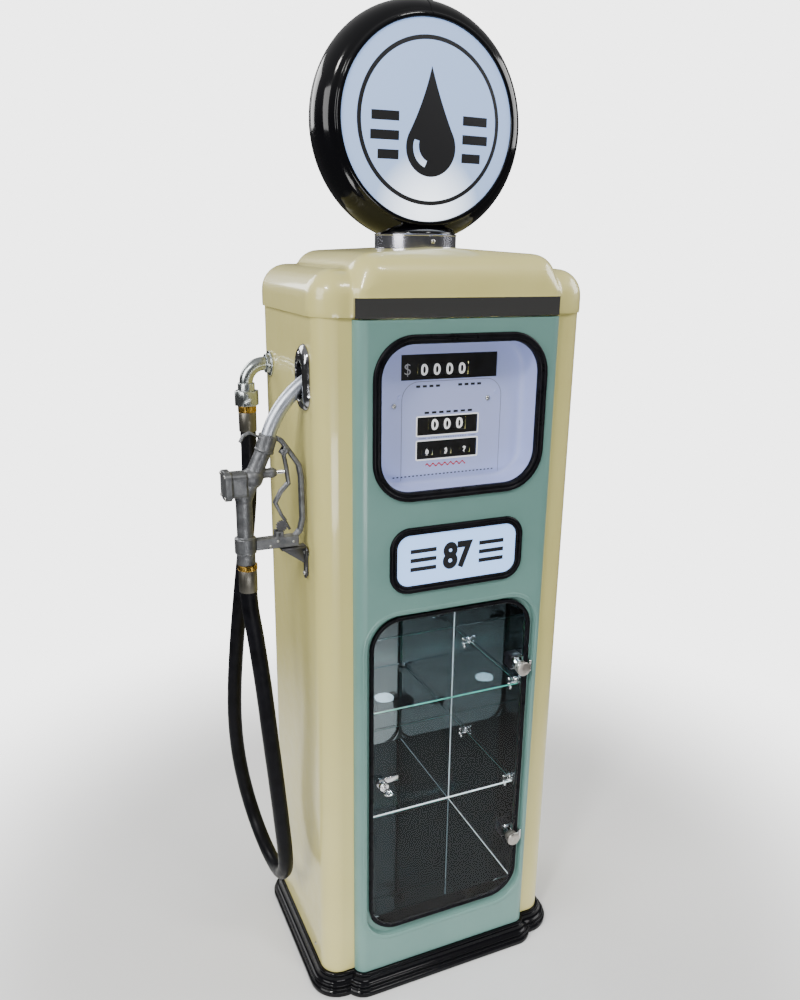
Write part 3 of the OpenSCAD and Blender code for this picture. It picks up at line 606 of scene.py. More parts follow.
for wavy in (IRON, HOUSING, FACE, COUNTER, WHEEL):
    bump(wavy, 300, 0.06, 0.0003)
    base = wavy.node_tree.nodes["Principled BSDF"].inputs["Roughness"].default_value
    vary_rough(wavy, base * 0.85, base * 1.2, 60)


def paint_nodes():
    """Gives every CAD node the material of its slot; bare sheet looks like the zinc pipe."""
    for part in frame["record"]["subparts"]:
        node = NODES[part["node"]]
        node.data.materials.clear()
        slot = part["material_slot"]
        node.data.materials.append(ZINC if slot == "bare_sheet" else MADE[slot])


paint_nodes()

SALE_DIGIT = 21.5
PRICE_DIGIT = 9.6

# ---------- hose ----------

HOSE_DIAMETER = 0.032
HOSE_ROUTE = [
    (-321, 118, 1185), (-321, 118, 1140), (-322, 122, 1070), (-327, 132, 985),
    (-336, 146, 890), (-345, 161, 790), (-354, 175, 680), (-360, 186, 580),
    (-362, 192, 490), (-359, 191, 410), (-352, 182, 340), (-343, 167, 281),
    (-334, 132, 233), (-327, 78, 205), (-323, 18, 202), (-323, -38, 225),
    (-326, -79, 270), (-331, -98, 328), (-338, -107, 400), (-347, -112, 500),
    (-357, -114, 610), (-367, -113, 730), (-377, -110, 830), (-384, -106, 890),
    (-386, -105, 930),
]


def smooth_line(route, steps):
    """Catmull-Rom line through the route, in metres."""
    knots = [Vector(p) * MM for p in route]
    line = []
    for i in range(len(knots) - 1):
        a = knots[max(i - 1, 0)]
        b, c = knots[i], knots[i + 1]
        d = knots[min(i + 2, len(knots) - 1)]
        for k in range(steps):
            t = k / steps
            bend = 2 * a - 5 * b + 4 * c - d
            twist = 3 * b - a - 3 * c + d
            line.append(0.5 * (2 * b + (c - a) * t + bend * t * t + twist * t ** 3))
    return line + [knots[-1]]


def make_hose():
    """Hose as a mesh tube that follows the route."""
    line = smooth_line(HOSE_ROUTE, 5)
    sides = 20
    points = []
    side = Vector((1, 0, 0))
    for i, place in enumerate(line):
        way = (line[min(i + 1, len(line) - 1)] - line[max(i - 1, 0)]).normalized()
        side = (side - way * side.dot(way)).normalized()
        other = way.cross(side)
        for j in range(sides):
            a = 2 * math.pi * j / sides
            points.append(place + (side * math.cos(a) + other * math.sin(a)) * HOSE_DIAMETER / 2)
    hose = mesh_object("hose_tube", points, ring_faces(len(line), sides), HOSE_RUBBER, 60)
    length = sum((b - a).length for a, b in zip(line, line[1:]))
    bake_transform(hose)
    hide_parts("hose")
    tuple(line[0])


make_hose()

# ---------- base ----------

PANEL_R = 22
CASING_R = 38
FRONT_MM = FRONT / MM
CASING_FRONT = -REAR / MM
SIDE_MM = SIDE_X / MM


def casing_outline(out):
    """Plan of the casing with its front panel, grown outwards, always with the same number of points."""
    panel_corner = PANEL_R + out
    meet = math.degrees(math.asin(max(out, 0) / panel_corner))
    half = [(0, FRONT_MM - out)]
    half += [(PANEL_HALF - PANEL_R + x, CASING_FRONT - y) for x, y in arc(0, 0, panel_corner, 90, meet, 10)]
    corner_x = SIDE_MM - CASING_R
    corner_y = -CASING_FRONT - CASING_R
    half += arc(corner_x, -corner_y, CASING_R + out, -90, 0, 10)
    half += arc(corner_x, corner_y, CASING_R + out, 0, 90, 10)
    rear = [(0, -CASING_FRONT + out)]
    return half + rear + [(-x, y) for x, y in half[:0:-1]]


def make_base():
    """Moulded base: beads and a cove that follow the casing and the front panel."""
    profile = [(0, 44)] + arc(3.2, 41, 4, 60, -40, 6) + [(8.6, 37.6), (9, 36)]
    profile += [(9.6, 33), (10.8, 30), (12.8, 27.4), (14.6, 26)]
    profile += arc(15.4, 22.4, 3.4, 70, -50, 6) + arc(19, 17, 3.2, 60, -50, 6) + [(21.6, 13.6)]
    profile += arc(20.6, 9.2, 4.4, 50, 0, 5) + [(25, 3), (24, 0.6), (22, 0)]
    rings = [[(x, y, height) for x, y in casing_outline(out)] for out, height in profile]
    points = [Vector(p) * MM for ring in rings for p in ring]
    base = mesh_object("base_moulding", points, ring_faces(len(rings), len(rings[0])), BASE_BLACK, 40)
    finish_piece(base, "root", "base_black", "base_plinth")


make_base()

# ---------- cap ----------


def ball(centre, radius, steps=28):
    points = []
    for ring, height in arc(0, 0, radius, 90, -90, steps // 2):
        circle = arc(centre[0], centre[1], ring, 0, 360, steps)[:-1]
        points += [(x, y, centre[2] + height) for x, y in circle]
    return points


def add_hull(work, points):
    made = [work.verts.new(Vector(p) * MM) for p in points]
    hull = bmesh.ops.convex_hull(work, input=made)
    unused = set(hull["geom_interior"] + hull["geom_unused"])
    bmesh.ops.delete(work, geom=[v for v in unused if isinstance(v, bmesh.types.BMVert)], context="VERTS")


def upright_edge(cx, cy, radius, low, high):
    return [(x, y, z) for x, y in arc(cx, cy, radius, 0, 352.5, 47) for z in (low, high)]


def make_cap():
    """Pressed cap: low shoulders and a crown that stands out to the front panel, blended together."""
    skirt = CASING_TOP / MM
    shoulder_x, shoulder_y = CAP_HIGH.x / MM, CAP_HIGH.y / MM
    shoulder_r, shoulder_top = 50, 1512
    work = bmesh.new()
    points = []
    for sx in (-1, 1):
        for sy in (-1, 1):
            cx, cy = sx * (shoulder_x - shoulder_r), sy * (shoulder_y - shoulder_r)
            points += upright_edge(cx, cy, shoulder_r, skirt, skirt + 1)
            points += ball((cx, cy, shoulder_top - shoulder_r), shoulder_r)
    add_hull(work, points)
    crown_x, crown_front, crown_rear = PANEL_HALF, FRONT_MM + 1.5, shoulder_y
    edge_r, crown_r, crown_top = 48, 75, 1548
    points = []
    for sx in (-1, 1):
        points += upright_edge(sx * (crown_x - PANEL_R), crown_front + PANEL_R, PANEL_R, skirt, skirt + 45)
        points += upright_edge(sx * (crown_x - PANEL_R), crown_rear - PANEL_R, PANEL_R, skirt, skirt + 20)
        for y in (crown_front + edge_r, crown_rear - edge_r):
            points += ball((sx * (crown_x - edge_r), y, 1492 - 0.5), edge_r - 0.5)
    for y in (crown_front + crown_r, crown_rear - crown_r):
        points += ball((0, y, crown_top - crown_r), crown_r)
    add_hull(work, points)
    mesh = bpy.data.meshes.new("cap_shell")
    work.to_mesh(mesh)
    work.free()
    mesh.materials.append(CREAM)
    cap = new_object("cap_shell", mesh)
    smoothed(cap, 3, 0.6, 8)
    for vert in cap.data.vertices:
        if vert.co.z < CASING_TOP + 0.0035:
            vert.co.z = CASING_TOP
    soften(cap.data, 50)
    finish_piece(cap, "root", "cream_paint", "cap")


make_cap()

# ---------- globe ----------

GLOBE = centre("globe_body") / MM
GLOBE_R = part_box("globe_body")[1].x / MM
LENS_RIM = 171.5
GLOBE_HALF = 49
DOME = 12


def make_globe():
    """Split black ring with a stepped bezel on each side, its foot and its top clamp."""
    middle = (0, GLOBE.y, GLOBE.z)
    side = [(GLOBE_R - 33 + 33 * c, GLOBE_HALF * s) for c, s in arc(0, 0, 1, 4, 74, 12)]
    rim = [
        (181.5, 48.6), (180.6, 49.2), (180, 50.6), (179.6, 53.4), (178, 55), (175, 55.4), (172, 55),
        (170.9, 53.4),
    ]
    half = [(GLOBE_R - 0.8, 0.0), (GLOBE_R, 1.2)] + side + rim + [(170.4, 48), (170.4, 40), (173, 36)]
    profile = half + [(r, -h) for r, h in half[:0:-1]]
    ring = ring_lathe("globe_ring", profile, middle, (0, -1, 0), GLOBE_BLACK, steps=160, angle=38)
    finish_piece(ring, "root", "globe_black", "globe_body", "globe_bezels")
    collar_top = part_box("globe_collar")[1].z / MM
    turned = [(60, -8), (76, -6), (77, 0), (76.6, 2.6), (74, 5.6), (68, 8.4), (58, 10.6), (40, 11.4)]
    foot = lathe("globe_foot", turned, (0, GLOBE.y, collar_top), (0, 0, 1), GLOBE_BLACK, 72)
    finish_piece(foot, "root", "globe_black")
    top = GLOBE.z + GLOBE_R
    lug_points = [
        (x, GLOBE.y + y, z)
        for y in (-9, 9)
        for x, z in (
            (-2, top - 3), (24, top - 5), (23, top + 1.5), (20, top + 4), (2, top + 4), (-1, top + 2),
        )
    ]
    lug = mesh_object("globe_clamp", [Vector(p) * MM for p in lug_points], ring_faces(2, 6), GLOBE_BLACK)
    finish_piece(lug, "root", "globe_black")
    seam = []
    for a in (math.radians(88.9), math.radians(89.4)):
        for radius, height in half:
            reach = radius + 0.7
            y = GLOBE.y - height * 1.006
            seam.append(Vector((reach * math.cos(a), y, GLOBE.z + reach * math.sin(a))) * MM)
    strap = mesh_object("globe_seam", seam, ring_faces(2, len(half)), GLOBE_BLACK)
    finish_piece(strap, "root", "globe_black")


make_globe()


def lens_rise(u, v):
    """How far the domed lens stands in front of its rim."""
    return DOME * (1 - (u * u + v * v) / LENS_RIM ** 2)


def on_lens(side):
    face = GLOBE_HALF + 3.1

    def place(u, v, forward):
        reach = face + lens_rise(u, v) + forward
        return Vector((u * -side, GLOBE.y + side * reach, GLOBE.z + v)) * MM

    return place


def make_lenses():
    """Two frosted domes, one on each side of the globe."""
    around = arc(0, 0, 1, 0, 360, 96)[:-1]
    radii = [170.9 * i / 14 for i in range(15)]
    rows = [(r, 0) for r in radii] + [(r, -3) for r in reversed(radii)]
    faces = ring_faces(len(rows), len(around), caps=False)
    for side, tag in ((-1, "front"), (1, "rear")):
        place = on_lens(side)
        points = [place(r * c, r * s, forward) for r, forward in rows for c, s in around]
        lens = mesh_object("globe_lens_" + tag, points, faces, LENS, 50)
        clean(lens)
        finish_piece(lens, "root", "lens_white", *(["globe_lenses"] if side < 0 else []))


def clean(obj):
    """Merges points that fall together, as at the centre of a dome."""
    with editing(obj.data) as work:
        bmesh.ops.remove_doubles(work, verts=work.verts, dist=1e-6)
        bmesh.ops.dissolve_degenerate(work, edges=work.edges, dist=1e-6)
        bmesh.ops.recalc_face_normals(work, faces=work.faces)


make_lenses()


def make_collar():
    """Polished collar with a rolled edge above and below."""
    low, high = (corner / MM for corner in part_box("globe_collar"))
    radius = (high.x - low.x) / 2
    rise = high.z - low.z
    profile = [(radius - 3, 0), (radius - 0.8, 0), (radius, 0.8), (radius, 2.4), (radius - 0.7, 3.2)]
    profile += [
        (radius - 0.7, rise - 3.2), (radius, rise - 2.4), (radius, rise - 0.8), (radius - 0.8, rise),
    ]
    profile += [(radius - 3, rise)]
    ring = ring_lathe("globe_collar_ring", profile, (0, GLOBE.y, low.z), (0, 0, 1), COLLAR, 120, 40)
    finish_piece(ring, "root", "bright_trim", "globe_collar")


COLLAR = brushed("collar_steel", (0.66, 0.66, 0.74), 0.16, (1, 1, 0.2))
make_collar()


def quad_curve(a, b, c, steps=12):
    """Points from a to c on a curve pulled towards b, without the last."""
    line = []
    for i in range(steps):
        t = i / steps
        line.append(tuple((1 - t) ** 2 * p + 2 * t * (1 - t) * q + t * t * r for p, q, r in zip(a, b, c)))
    return line


def fuel_drop(size):
    """Outline of a plain drop: round below, drawn out to a tip above."""
    bulb = 0.48 * size
    tip = (0, size)
    low = arc(0, -0.3 * size, bulb, 25, -205, 44)
    left = quad_curve(low[-1], (-0.16 * size, 0.42 * size), tip)
    right = quad_curve(tip, (0.16 * size, 0.42 * size), low[0])
    return low + left[1:] + right


def ring_band(inner, outer, steps=120):
    """A flat ring as short quads."""
    shapes = []
    for i in range(steps):
        a, b = 360 * i / steps, 360 * (i + 1) / steps
        shapes.append(arc(0, 0, inner, a, b, 1) + arc(0, 0, outer, b, a, 1))
    return shapes


def make_emblem(side, tag):
    """Generic sign on the lens: a ring, a fuel drop and plain bars on both sides of it."""
    place = on_lens(side)
    shapes = ring_band(135, 142.5)
    shapes.append([(u, v - 12) for u, v in fuel_drop(104)])
    for s in (-1, 1):
        for row, reach in ((6, 116), (-26, 118), (-58, 104)):
            shapes.append(bar_shape(*sorted((s * 64, s * reach)), row - 8, row + 8))
    emblem = print_on("emblem_" + tag, shapes, place, PRINT_BLACK, 0.25, (14, 14))
    finish_piece(emblem, "root", "globe_black")
    glint = arc(0, -43, 36, 160, 250, 14) + arc(4, -40, 29, 246, 166, 14)

    def above(u, v, forward):
        return place(u, v, forward + 0.2)

    shine = print_on("emblem_glint_" + tag, [glint], above, LENS, 0.25, (14, 14))
    finish_piece(shine, "root", "lens_white")


make_emblem(-1, "front")
make_emblem(1, "rear")

# ---------- glazing rubber ----------


def glazing_profile(inner):
    lip = [(9, -0.5), (9.2, 2), (8.3, 4.4), (6.4, 5.9), (4.2, 6.2), (2.4, 5.5), (1.3, 4.2), (0.4, 3.6)]
    k = inner / 8
    return lip + [
        (-0.6 * k, 4.1), (-2.4 * k, 5), (-4.6 * k, 4.8), (-6.6 * k, 3.4), (-8 * k, 0.6), (-8 * k, -7),
        (6, -7),
    ]


def glazing_ring(name, node, width, low, high, radius, inner):
    path = rounded_rect(width, low, high, radius, 16)
    rubber = frame_sweep(name, path, glazing_profile(inner), facing_front(FRONT_MM), RUBBER, 60)
    finish_piece(rubber, "root", "glazing_rubber", node)


DIAL_W, DIAL_LOW, DIAL_HIGH, DIAL_R = 336, 1109, 1394, 70
SIGN_W, SIGN_LOW, SIGN_HIGH, SIGN_R = 266, 927, 1040, 31
DOOR_W, DOOR_LOW, DOOR_HIGH, DOOR_R = 374, 124.5, 875, 65
glazing_ring("dial_rubber", "dial_gasket", DIAL_W, DIAL_LOW, DIAL_HIGH, DIAL_R, 8)
glazing_ring("sign_rubber", "ad_gasket", SIGN_W, SIGN_LOW, SIGN_HIGH, SIGN_R, 6.5)


def make_door_frame():
    """Pressed step of the panel round the door."""
    reveal = [
        (9, 0), (8.6, 0.5), (6, 0.7), (3, 0.4), (0.8, -1), (-0.8, -3.6), (-1.2, -8), (-2.2, -11),
        (-4.6, -11.9),
    ]
    reveal += [(-11.8, -11.9), (-12, -12.6), (-11.8, -14.2), (0, -14.4), (1.5, -6), (6, -1)]
    path = rounded_rect(DOOR_W, DOOR_LOW, DOOR_HIGH, DOOR_R, 16)
    step = frame_sweep("door_reveal", path, reveal, facing_front(FRONT_MM), TEAL, 50)
    finish_piece(step, "root", "teal_paint")


make_door_frame()

# ---------- dial ----------


def screw_head(name, place, way, radius, material, body, slot):
    """Domed screw head with a small round cup in place of its cross recess."""
    dome = [
        (radius, 0), (radius, 0.25 * radius), (0.9 * radius, 0.45 * radius),
        (0.6 * radius, 0.62 * radius),
    ]
    dome += [(0.34 * radius, 0.68 * radius), (0.3 * radius, 0.4 * radius), (0.05 * radius, 0.36 * radius)]
    head = lathe(name, dome, place, way, material, 24, 35)
    return finish_piece(head, body, slot)


FACE_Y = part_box("dial_face")[0].y / MM + 1.5


def make_dial_surround():
    """Moulded well of the dial: its walls run down to the face in a cove."""
    depth = FACE_Y - FRONT_MM
    profile = [(1, depth - 4), (0.6, 22), (0.2, 12), (-0.8, 6), (-2.6, 2.8), (-5, 1.1), (-8, 0.3), (-12, 0)]
    profile += [(-12, -1), (-6, -1), (3, 4), (4, depth - 4)]
    path = rounded_rect(DIAL_W - 14, DIAL_LOW + 7, DIAL_HIGH - 7, DIAL_R - 6, 16)
    well = frame_sweep("dial_well", path, profile, facing_front(FACE_Y), FACE, 60)
    finish_piece(well, "root", "face_white")


make_dial_surround()

VOLUME_WINDOW = (-65, 63, 1209, 1244)
PRICE_WINDOW = (-65, 63, 1163, 1198)


def window_outline(name, window, border):
    left, right, low, high = window
    outline = rounded_rect(right - left, low, high, 1.5, 4)
    path = [(u + (left + right) / 2, v, nu, nv) for u, v, nu, nv in outline]
    profile = [(0, -1.2), (0, 0.5), (0.4, 0.8), (border - 0.4, 0.8), (border, 0.4), (border, -0.2)]
    rim = frame_sweep(name, path, profile, facing_front(FACE_Y), PRINT_WHITE, 30)
    finish_piece(rim, "root", "face_white")


def dashes(u0, u1, count, fill=0.62):
    pitch = (u1 - u0) / count
    return [(u0 + pitch * (i + (1 - fill) / 2), u0 + pitch * (i + (1 + fill) / 2)) for i in range(count)]


def make_dial_print():
    """Plain dashes and rules where the face carries lettering."""
    window_outline("volume_rim", VOLUME_WINDOW, 2.2)
    window_outline("price_rim", PRICE_WINDOW, 2.2)
    place = facing_front(FACE_Y)
    words = dashes(-71, -17, 4) + dashes(16, 70, 4)
    shapes = [bar_shape(a, b, 1299.8, 1304.2) for a, b in words]
    shapes += [bar_shape(a, b, 1249.9, 1254.1) for a, b in dashes(-53, 53, 7)]
    shapes += [bar_shape(a, b, 1203, 1204.2) for a, b in dashes(-42, 40, 16, 0.5)]
    shapes += [bar_shape(a, b, 1203.3, 1203.9) for a, b in ((-62, -46), (44, 60))]
    shapes += [bar_shape(a, b, 1131, 1133.2) for a, b in dashes(-116, 103, 27, 0.5)]
    finish_piece(print_on("dial_print", shapes, place, PRINT_BLACK, 0.15, (0, 0)), "root", "wheel_black")
    stroke = [(-46 + i * 1.5, 1151 + 2.6 * math.sin(i * 0.75)) for i in range(58)]
    ribbon = [
        [(a[0], a[1] - 1.5), (b[0], b[1] - 1.5), (b[0], b[1] + 1.5), (a[0], a[1] + 1.5)]
        for a, b in zip(stroke, stroke[1:])
    ]
    finish_piece(print_on("dial_wave", ribbon, place, PRINT_RED, 0.15, (0, 0)), "root", "face_white")
    money = facing_front(FACE_Y + 1.2)
    sign = numeral(
        "$", 24, lambda u, v, f: money(u - 85.6, v + 1333, f), "money_sign", PRINT_GREY,
        0.95, -0.012, 0.2, (0, 0),
    )
    finish_piece(sign, "root", "face_white")


make_dial_print()


def make_dial_plate():
    """Thin grey line along an arch with rounded shoulders, off centre on the dial face: the painted edge of
    a patch of light. Also the two screws beside it.
    """
    left, right, low, top = -97, 112, DIAL_LOW + 16, 1311
    shoulder = 34
    outline = [(left, low), (right, low)] + arc(right - shoulder, top - shoulder, shoulder, 0, 90, 12)
    outline += arc(left + shoulder, top - shoulder, shoulder, 90, 180, 12)
    place = facing_front(FACE_Y)
    half_line = 0.45
    shapes = []
    for a, b in zip(outline, outline[1:] + outline[:1]):
        size = math.dist(a, b)
        if size < 1e-6 or (a[1] == low and b[1] == low):
            continue
        nx, ny = -(b[1] - a[1]) / size * half_line, (b[0] - a[0]) / size * half_line
        shapes.append(
            [(a[0] - nx, a[1] - ny), (b[0] - nx, b[1] - ny), (b[0] + nx, b[1] + ny), (a[0] + nx, a[1] + ny)]
        )
    finish_piece(print_on("dial_light_edge", shapes, place, LIGHT_EDGE_GREY, 0.3, (0, 0)), "root", "face_white")
    for i, (x, z) in enumerate(((-113, 1268), (83, 1273))):
        screw_head(f"dial_screw_{i + 1}", (x, FACE_Y, z), (0, -1, 0), 5, SCREW, "root", "face_white")


# Grey of the painted line where a patch of light on the dial face ends.
LIGHT_EDGE_GREY = shader("light_edge_grey", (0.2, 0.21, 0.3), 0.4)
make_dial_plate()


def make_wheel_digits(node, height, first, weight):
    """Digits 0 to 9 round one counter wheel; the wheel counts up as its front edge moves down."""
    low, high = (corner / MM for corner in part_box(node))
    middle = (low + high) / 2
    radius = (high.z - low.z) / 2
    for digit in range(10):
        start = math.radians(36) * ((digit - first) % 10)

        def place(u, v, forward, start=start):
            angle = start + v / radius
            reach = radius + 0.03 + forward
            return (middle + Vector((u, -reach * math.cos(angle), reach * math.sin(angle)))) * MM

        name = f"{node}_digit_{digit}"
        mark = numeral(str(digit), height, place, name, PRINT_WHITE, 1.0, weight, 0.06, (0, 3))
        finish_piece(mark, node + "_body", "face_white")


for counter, shown, size, weight in (
    ("sale", (0, 0, 0, 0), SALE_DIGIT, 0.028),
    ("volume", (0, 0, 0), SALE_DIGIT, 0.028),
    ("price", (0, 3, 7), PRICE_DIGIT, 0.05),
):
    for i, digit in enumerate(shown):
        make_wheel_digits(f"{counter}_wheel_{i + 1}", size, digit, weight)

# ---------- grade sign ----------


def make_sign_print():
    """Two bold numerals between plain bars, where the real sign has a word."""
    middle = (SIGN_LOW + SIGN_HIGH) / 2
    place = facing_front(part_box("ad_panel")[0].y / MM)

    def lifted(u, v, forward):
        return place(u, v + middle, forward)

    grade = numeral("87", 56, lifted, "grade_numeral", PRINT_BLACK, 0.86, 0.05, 0.25, (0, 0))
    finish_piece(grade, "root", "wheel_black")
    bars = [bar_shape(*sorted((s * 46, s * 100)), v - 4, v + 4) for s in (-1, 1) for v in (-18, 0, 18)]
    finish_piece(print_on("grade_bars", bars, lifted, PRINT_BLACK, 0.25, (0, 0)), "root", "wheel_black")


make_sign_print()

# ---------- door and its fittings ----------

DOOR_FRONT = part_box("door_glass")[0].y / MM


def make_door_rubber():
    profile = [
        (0, -6.4), (0.2, 0.4), (-0.6, 1.7), (-2.4, 2.4), (-4.6, 2.3), (-6.6, 1.4), (-7.5, 0),
        (-7.5, -6.4),
    ]
    path = rounded_rect(356, 138, 868, DOOR_R, 16)
    rubber = frame_sweep("door_rubber", path, profile, facing_front(DOOR_FRONT), RUBBER, 60)
    finish_piece(rubber, "door", "glazing_rubber", "door_edge")


make_door_rubber()


def make_hinge_buttons():
    """Screw-down knobs of the glass clamps: a short barrel with a wide flat cap."""
    profile = [
        (12.9, -0.4), (13.2, 0), (13.2, 7.4), (12.4, 8.2), (10.6, 8.4), (10.6, 10.6), (14.6, 11),
        (15.2, 11.8),
    ]
    profile += [(15.2, 15.4), (14.7, 16.3), (13.8, 16.8), (0.2, 16.9)]
    for height, tag in zip(HINGE_HEIGHTS, ("lower", "upper")):
        base = (HINGE_X, DOOR_FRONT, height)
        button = lathe("hinge_button_" + tag, profile, base, (0, -1, 0), KNOB_CHROME, 64, 40)
        finish_piece(button, "door", "chrome_fittings")
        block = bmesh.new()
        bmesh.ops.create_cube(block, size=1)
        size = Vector((27, 28.6, 28.8))
        for vert in block.verts:
            vert.co = (Vector((162.8, -164, height)) + vert.co * size) * MM
        bmesh.ops.bevel(block, geom=block.edges[:], offset=1.6 * MM, segments=3, affect="EDGES", profile=0.5)
        body = bmesh_object("hinge_block_" + tag, block, RUBBER)
        soften(body.data, 40)
        finish_piece(body, "root", "glazing_rubber")


HINGE_X = 161
HINGE_HEIGHTS = (289, 710)
make_hinge_buttons()
LOCK_X, LOCK_Z = -150, 503


def make_lock_rim():
    profile = [(3.4, 8.2), (4.4, 8.8), (8.2, 8.8), (9.4, 8.2), (9.9, 7), (9.9, 0.4), (9.2, 0), (3.4, 0)]
    rim = ring_lathe("lock_rim", profile, (LOCK_X, DOOR_FRONT, LOCK_Z), (0, -1, 0), CHROME, 64, 40)
    finish_piece(rim, "door", "chrome_fittings")


make_lock_rim()
finish_piece(bevelled_copy("lock_cam_key", "lock_cam", 0.5, CHROME, 2), "lock", "chrome_fittings")
finish_piece(bevelled_copy("hinge_blocks", "door_hinges", 0.5, CHROME, 2), "root", "chrome_fittings")

# ---------- cabinet ----------

CABIN_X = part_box("back_mirror")[1].x / MM
CABIN_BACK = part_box("back_mirror")[0].y / MM
CABIN_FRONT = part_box("floor_mirror")[0].y / MM
CABIN_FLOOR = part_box("floor_mirror")[1].z / MM
CABIN_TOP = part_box("cabinet_ceiling")[0].z / MM


def strip(name, a, b, width, material, slot):
    """Thin square strip between two points in millimetres."""
    a, b = Vector(a), Vector(b)
    way = (b - a).normalized()
    side = way.orthogonal().normalized()
    other = way.cross(side)
    half = width / 2
    points = [
        (end + side * half * c + other * half * d) * MM
        for end in (a, b) for c, d in ((-1, -1), (1, -1), (1, 1), (-1, 1))
    ]
    bar = mesh_object(name, points, ring_faces(2, 4), material, 30)
    return finish_piece(bar, "root", slot)


def make_cabinet_edges():
    """Thin strips along the mirror edges that glow: painted highlight lines in the corners and along the
    floor.
    """
    x, back, floor_z = CABIN_X - 0.7, CABIN_BACK - 0.7, CABIN_FLOOR + 0.5
    sides = ((x, "right", PAINTED_HIGHLIGHT_EDGE, 1.6, 1.2), (-x, "left", GLASS_EDGE, 1.2, 0.8))
    for u, tag, edge, width, _ in sides:
        foot, head = (u, back, CABIN_FLOOR), (u, back, CABIN_TOP)
        strip("corner_line_" + tag, foot, head, width, edge, "tinted_mirror")
    for u, tag, edge, _, width in sides:
        near, far = (u, CABIN_FRONT, floor_z), (u, back, floor_z)
        strip("floor_line_" + tag, near, far, width, edge, "tinted_mirror")
    strip("floor_line_back", (-x, back, floor_z), (x, back, floor_z), 0.8, GLASS_EDGE, "tinted_mirror")


make_cabinet_edges()


def make_shelf_edges():
    """Edges of the two glass shelves: the front edges glow with painted light, white on the lower shelf and
    green on the upper; the sides and rear are dark green glass.
    """
    low, high = (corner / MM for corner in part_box("glass_shelves"))
    for top, tag, front in ((low.z + 6, "lower", PAINTED_HIGHLIGHT_EDGE), (high.z, "upper", GLASS_EDGE)):
        y, z = low.y - 0.2, top - 3
        strip(f"shelf_edge_{tag}", (low.x, y, z), (high.x, y, z), 2.6, front, "shelf_glass")
        rim = top - 0.6
        for x in (low.x, high.x):
            name = f"shelf_side_{tag}_{x > 0}"
            strip(name, (x, low.y, rim), (x, high.y, rim), 1.1, SIDE_EDGE, "shelf_glass")
        rear = f"shelf_rear_{tag}"
        strip(rear, (low.x, high.y, rim), (high.x, high.y, rim), 1.1, SIDE_EDGE, "shelf_glass")


make_shelf_edges()


def make_shelf_clip(name, x, y, z):
    """Two-jaw chrome clip: wall disc, upper and lower jaw, and a thumb screw below."""
    way = -1 if x > 0 else 1
    wall = (x, y, z)
    disc = [(9, 0), (9.2, 0.8), (9, 3), (7.6, 4.4), (0.2, 5)]
    parts = [lathe(name + "_disc", disc, wall, (way, 0, 0), CHROME, 32, 40)]
    for lift in (1, -1):
        base = (x + way * 4, y, z + lift * 6.2)
        jaw = [(1.5, 0), (2.9, 0.6), (3.2, 2), (3.2, 12), (2.6, 14), (1.2, 15), (0.1, 15.2)]
        parts.append(lathe(f"{name}_jaw_{lift}", jaw, base, (way, 0, 0), CHROME, 24, 50))
    knob = [(2, 0), (2, 3), (4.2, 3.6), (4.6, 5), (4.4, 9), (3.4, 10.4), (0.2, 10.8)]
    parts.append(lathe(name + "_knob", knob, (x + way * 12, y, z - 8), (0, 0, -1), CHROME, 24, 40))
    finish_piece(join(name, parts), "root", "chrome_fittings")


def make_shelf_clips():
    count = 0
    for x in (-CABIN_X, CABIN_X):
        for z in SHELF_HEIGHTS:
            for y in (-158, 56):
                count += 1
                make_shelf_clip(f"shelf_clip_{count}", x, y, z)


SHELF_HEIGHTS = (412, 655)
make_shelf_clips()
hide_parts("shelf_clips")


def make_puck_ring():
    low, high = (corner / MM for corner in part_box("puck_light"))
    middle = (low + high) / 2
    profile = [
        (31, 0), (33.5, -1.5), (34, -5), (33.2, -12), (31.4, -14.2), (27, -15.4), (25, -14.6),
        (25, -12), (31, -11),
    ]
    ring = ring_lathe("puck_ring", profile, (middle.x, middle.y, CABIN_TOP), (0, 0, 1), CHROME, 64, 40)
    finish_piece(ring, "root", "chrome_fittings")


make_puck_ring()

# ---------- nozzle ----------


def cast_copy(name, node, voxel, passes, material, body, slot):
    """Copy of a CAD node with the soft inner and outer corners of a casting."""
    mesh = node_copy(name, node, material)
    with editing(mesh) as work:
        bmesh.ops.remove_doubles(work, verts=work.verts, dist=0.00001)
    obj = new_object(name, mesh)
    smoothed(obj, voxel, 0.5, passes)
    soften(obj.data, 80)
    return finish_piece(obj, body, slot, node)


cast_copy("nozzle_casting", "nozzle_body", 1.3, 7, CAST, "nozzle", "cast_grey")
cast_copy("guard_casting", "nozzle_guard", 1.1, 5, CAST, "nozzle", "cast_grey")
finish_piece(bevelled_copy("trigger", "lever", 1.0, CAST, 3), "lever", "cast_grey")

NOZZLE_Y = -105


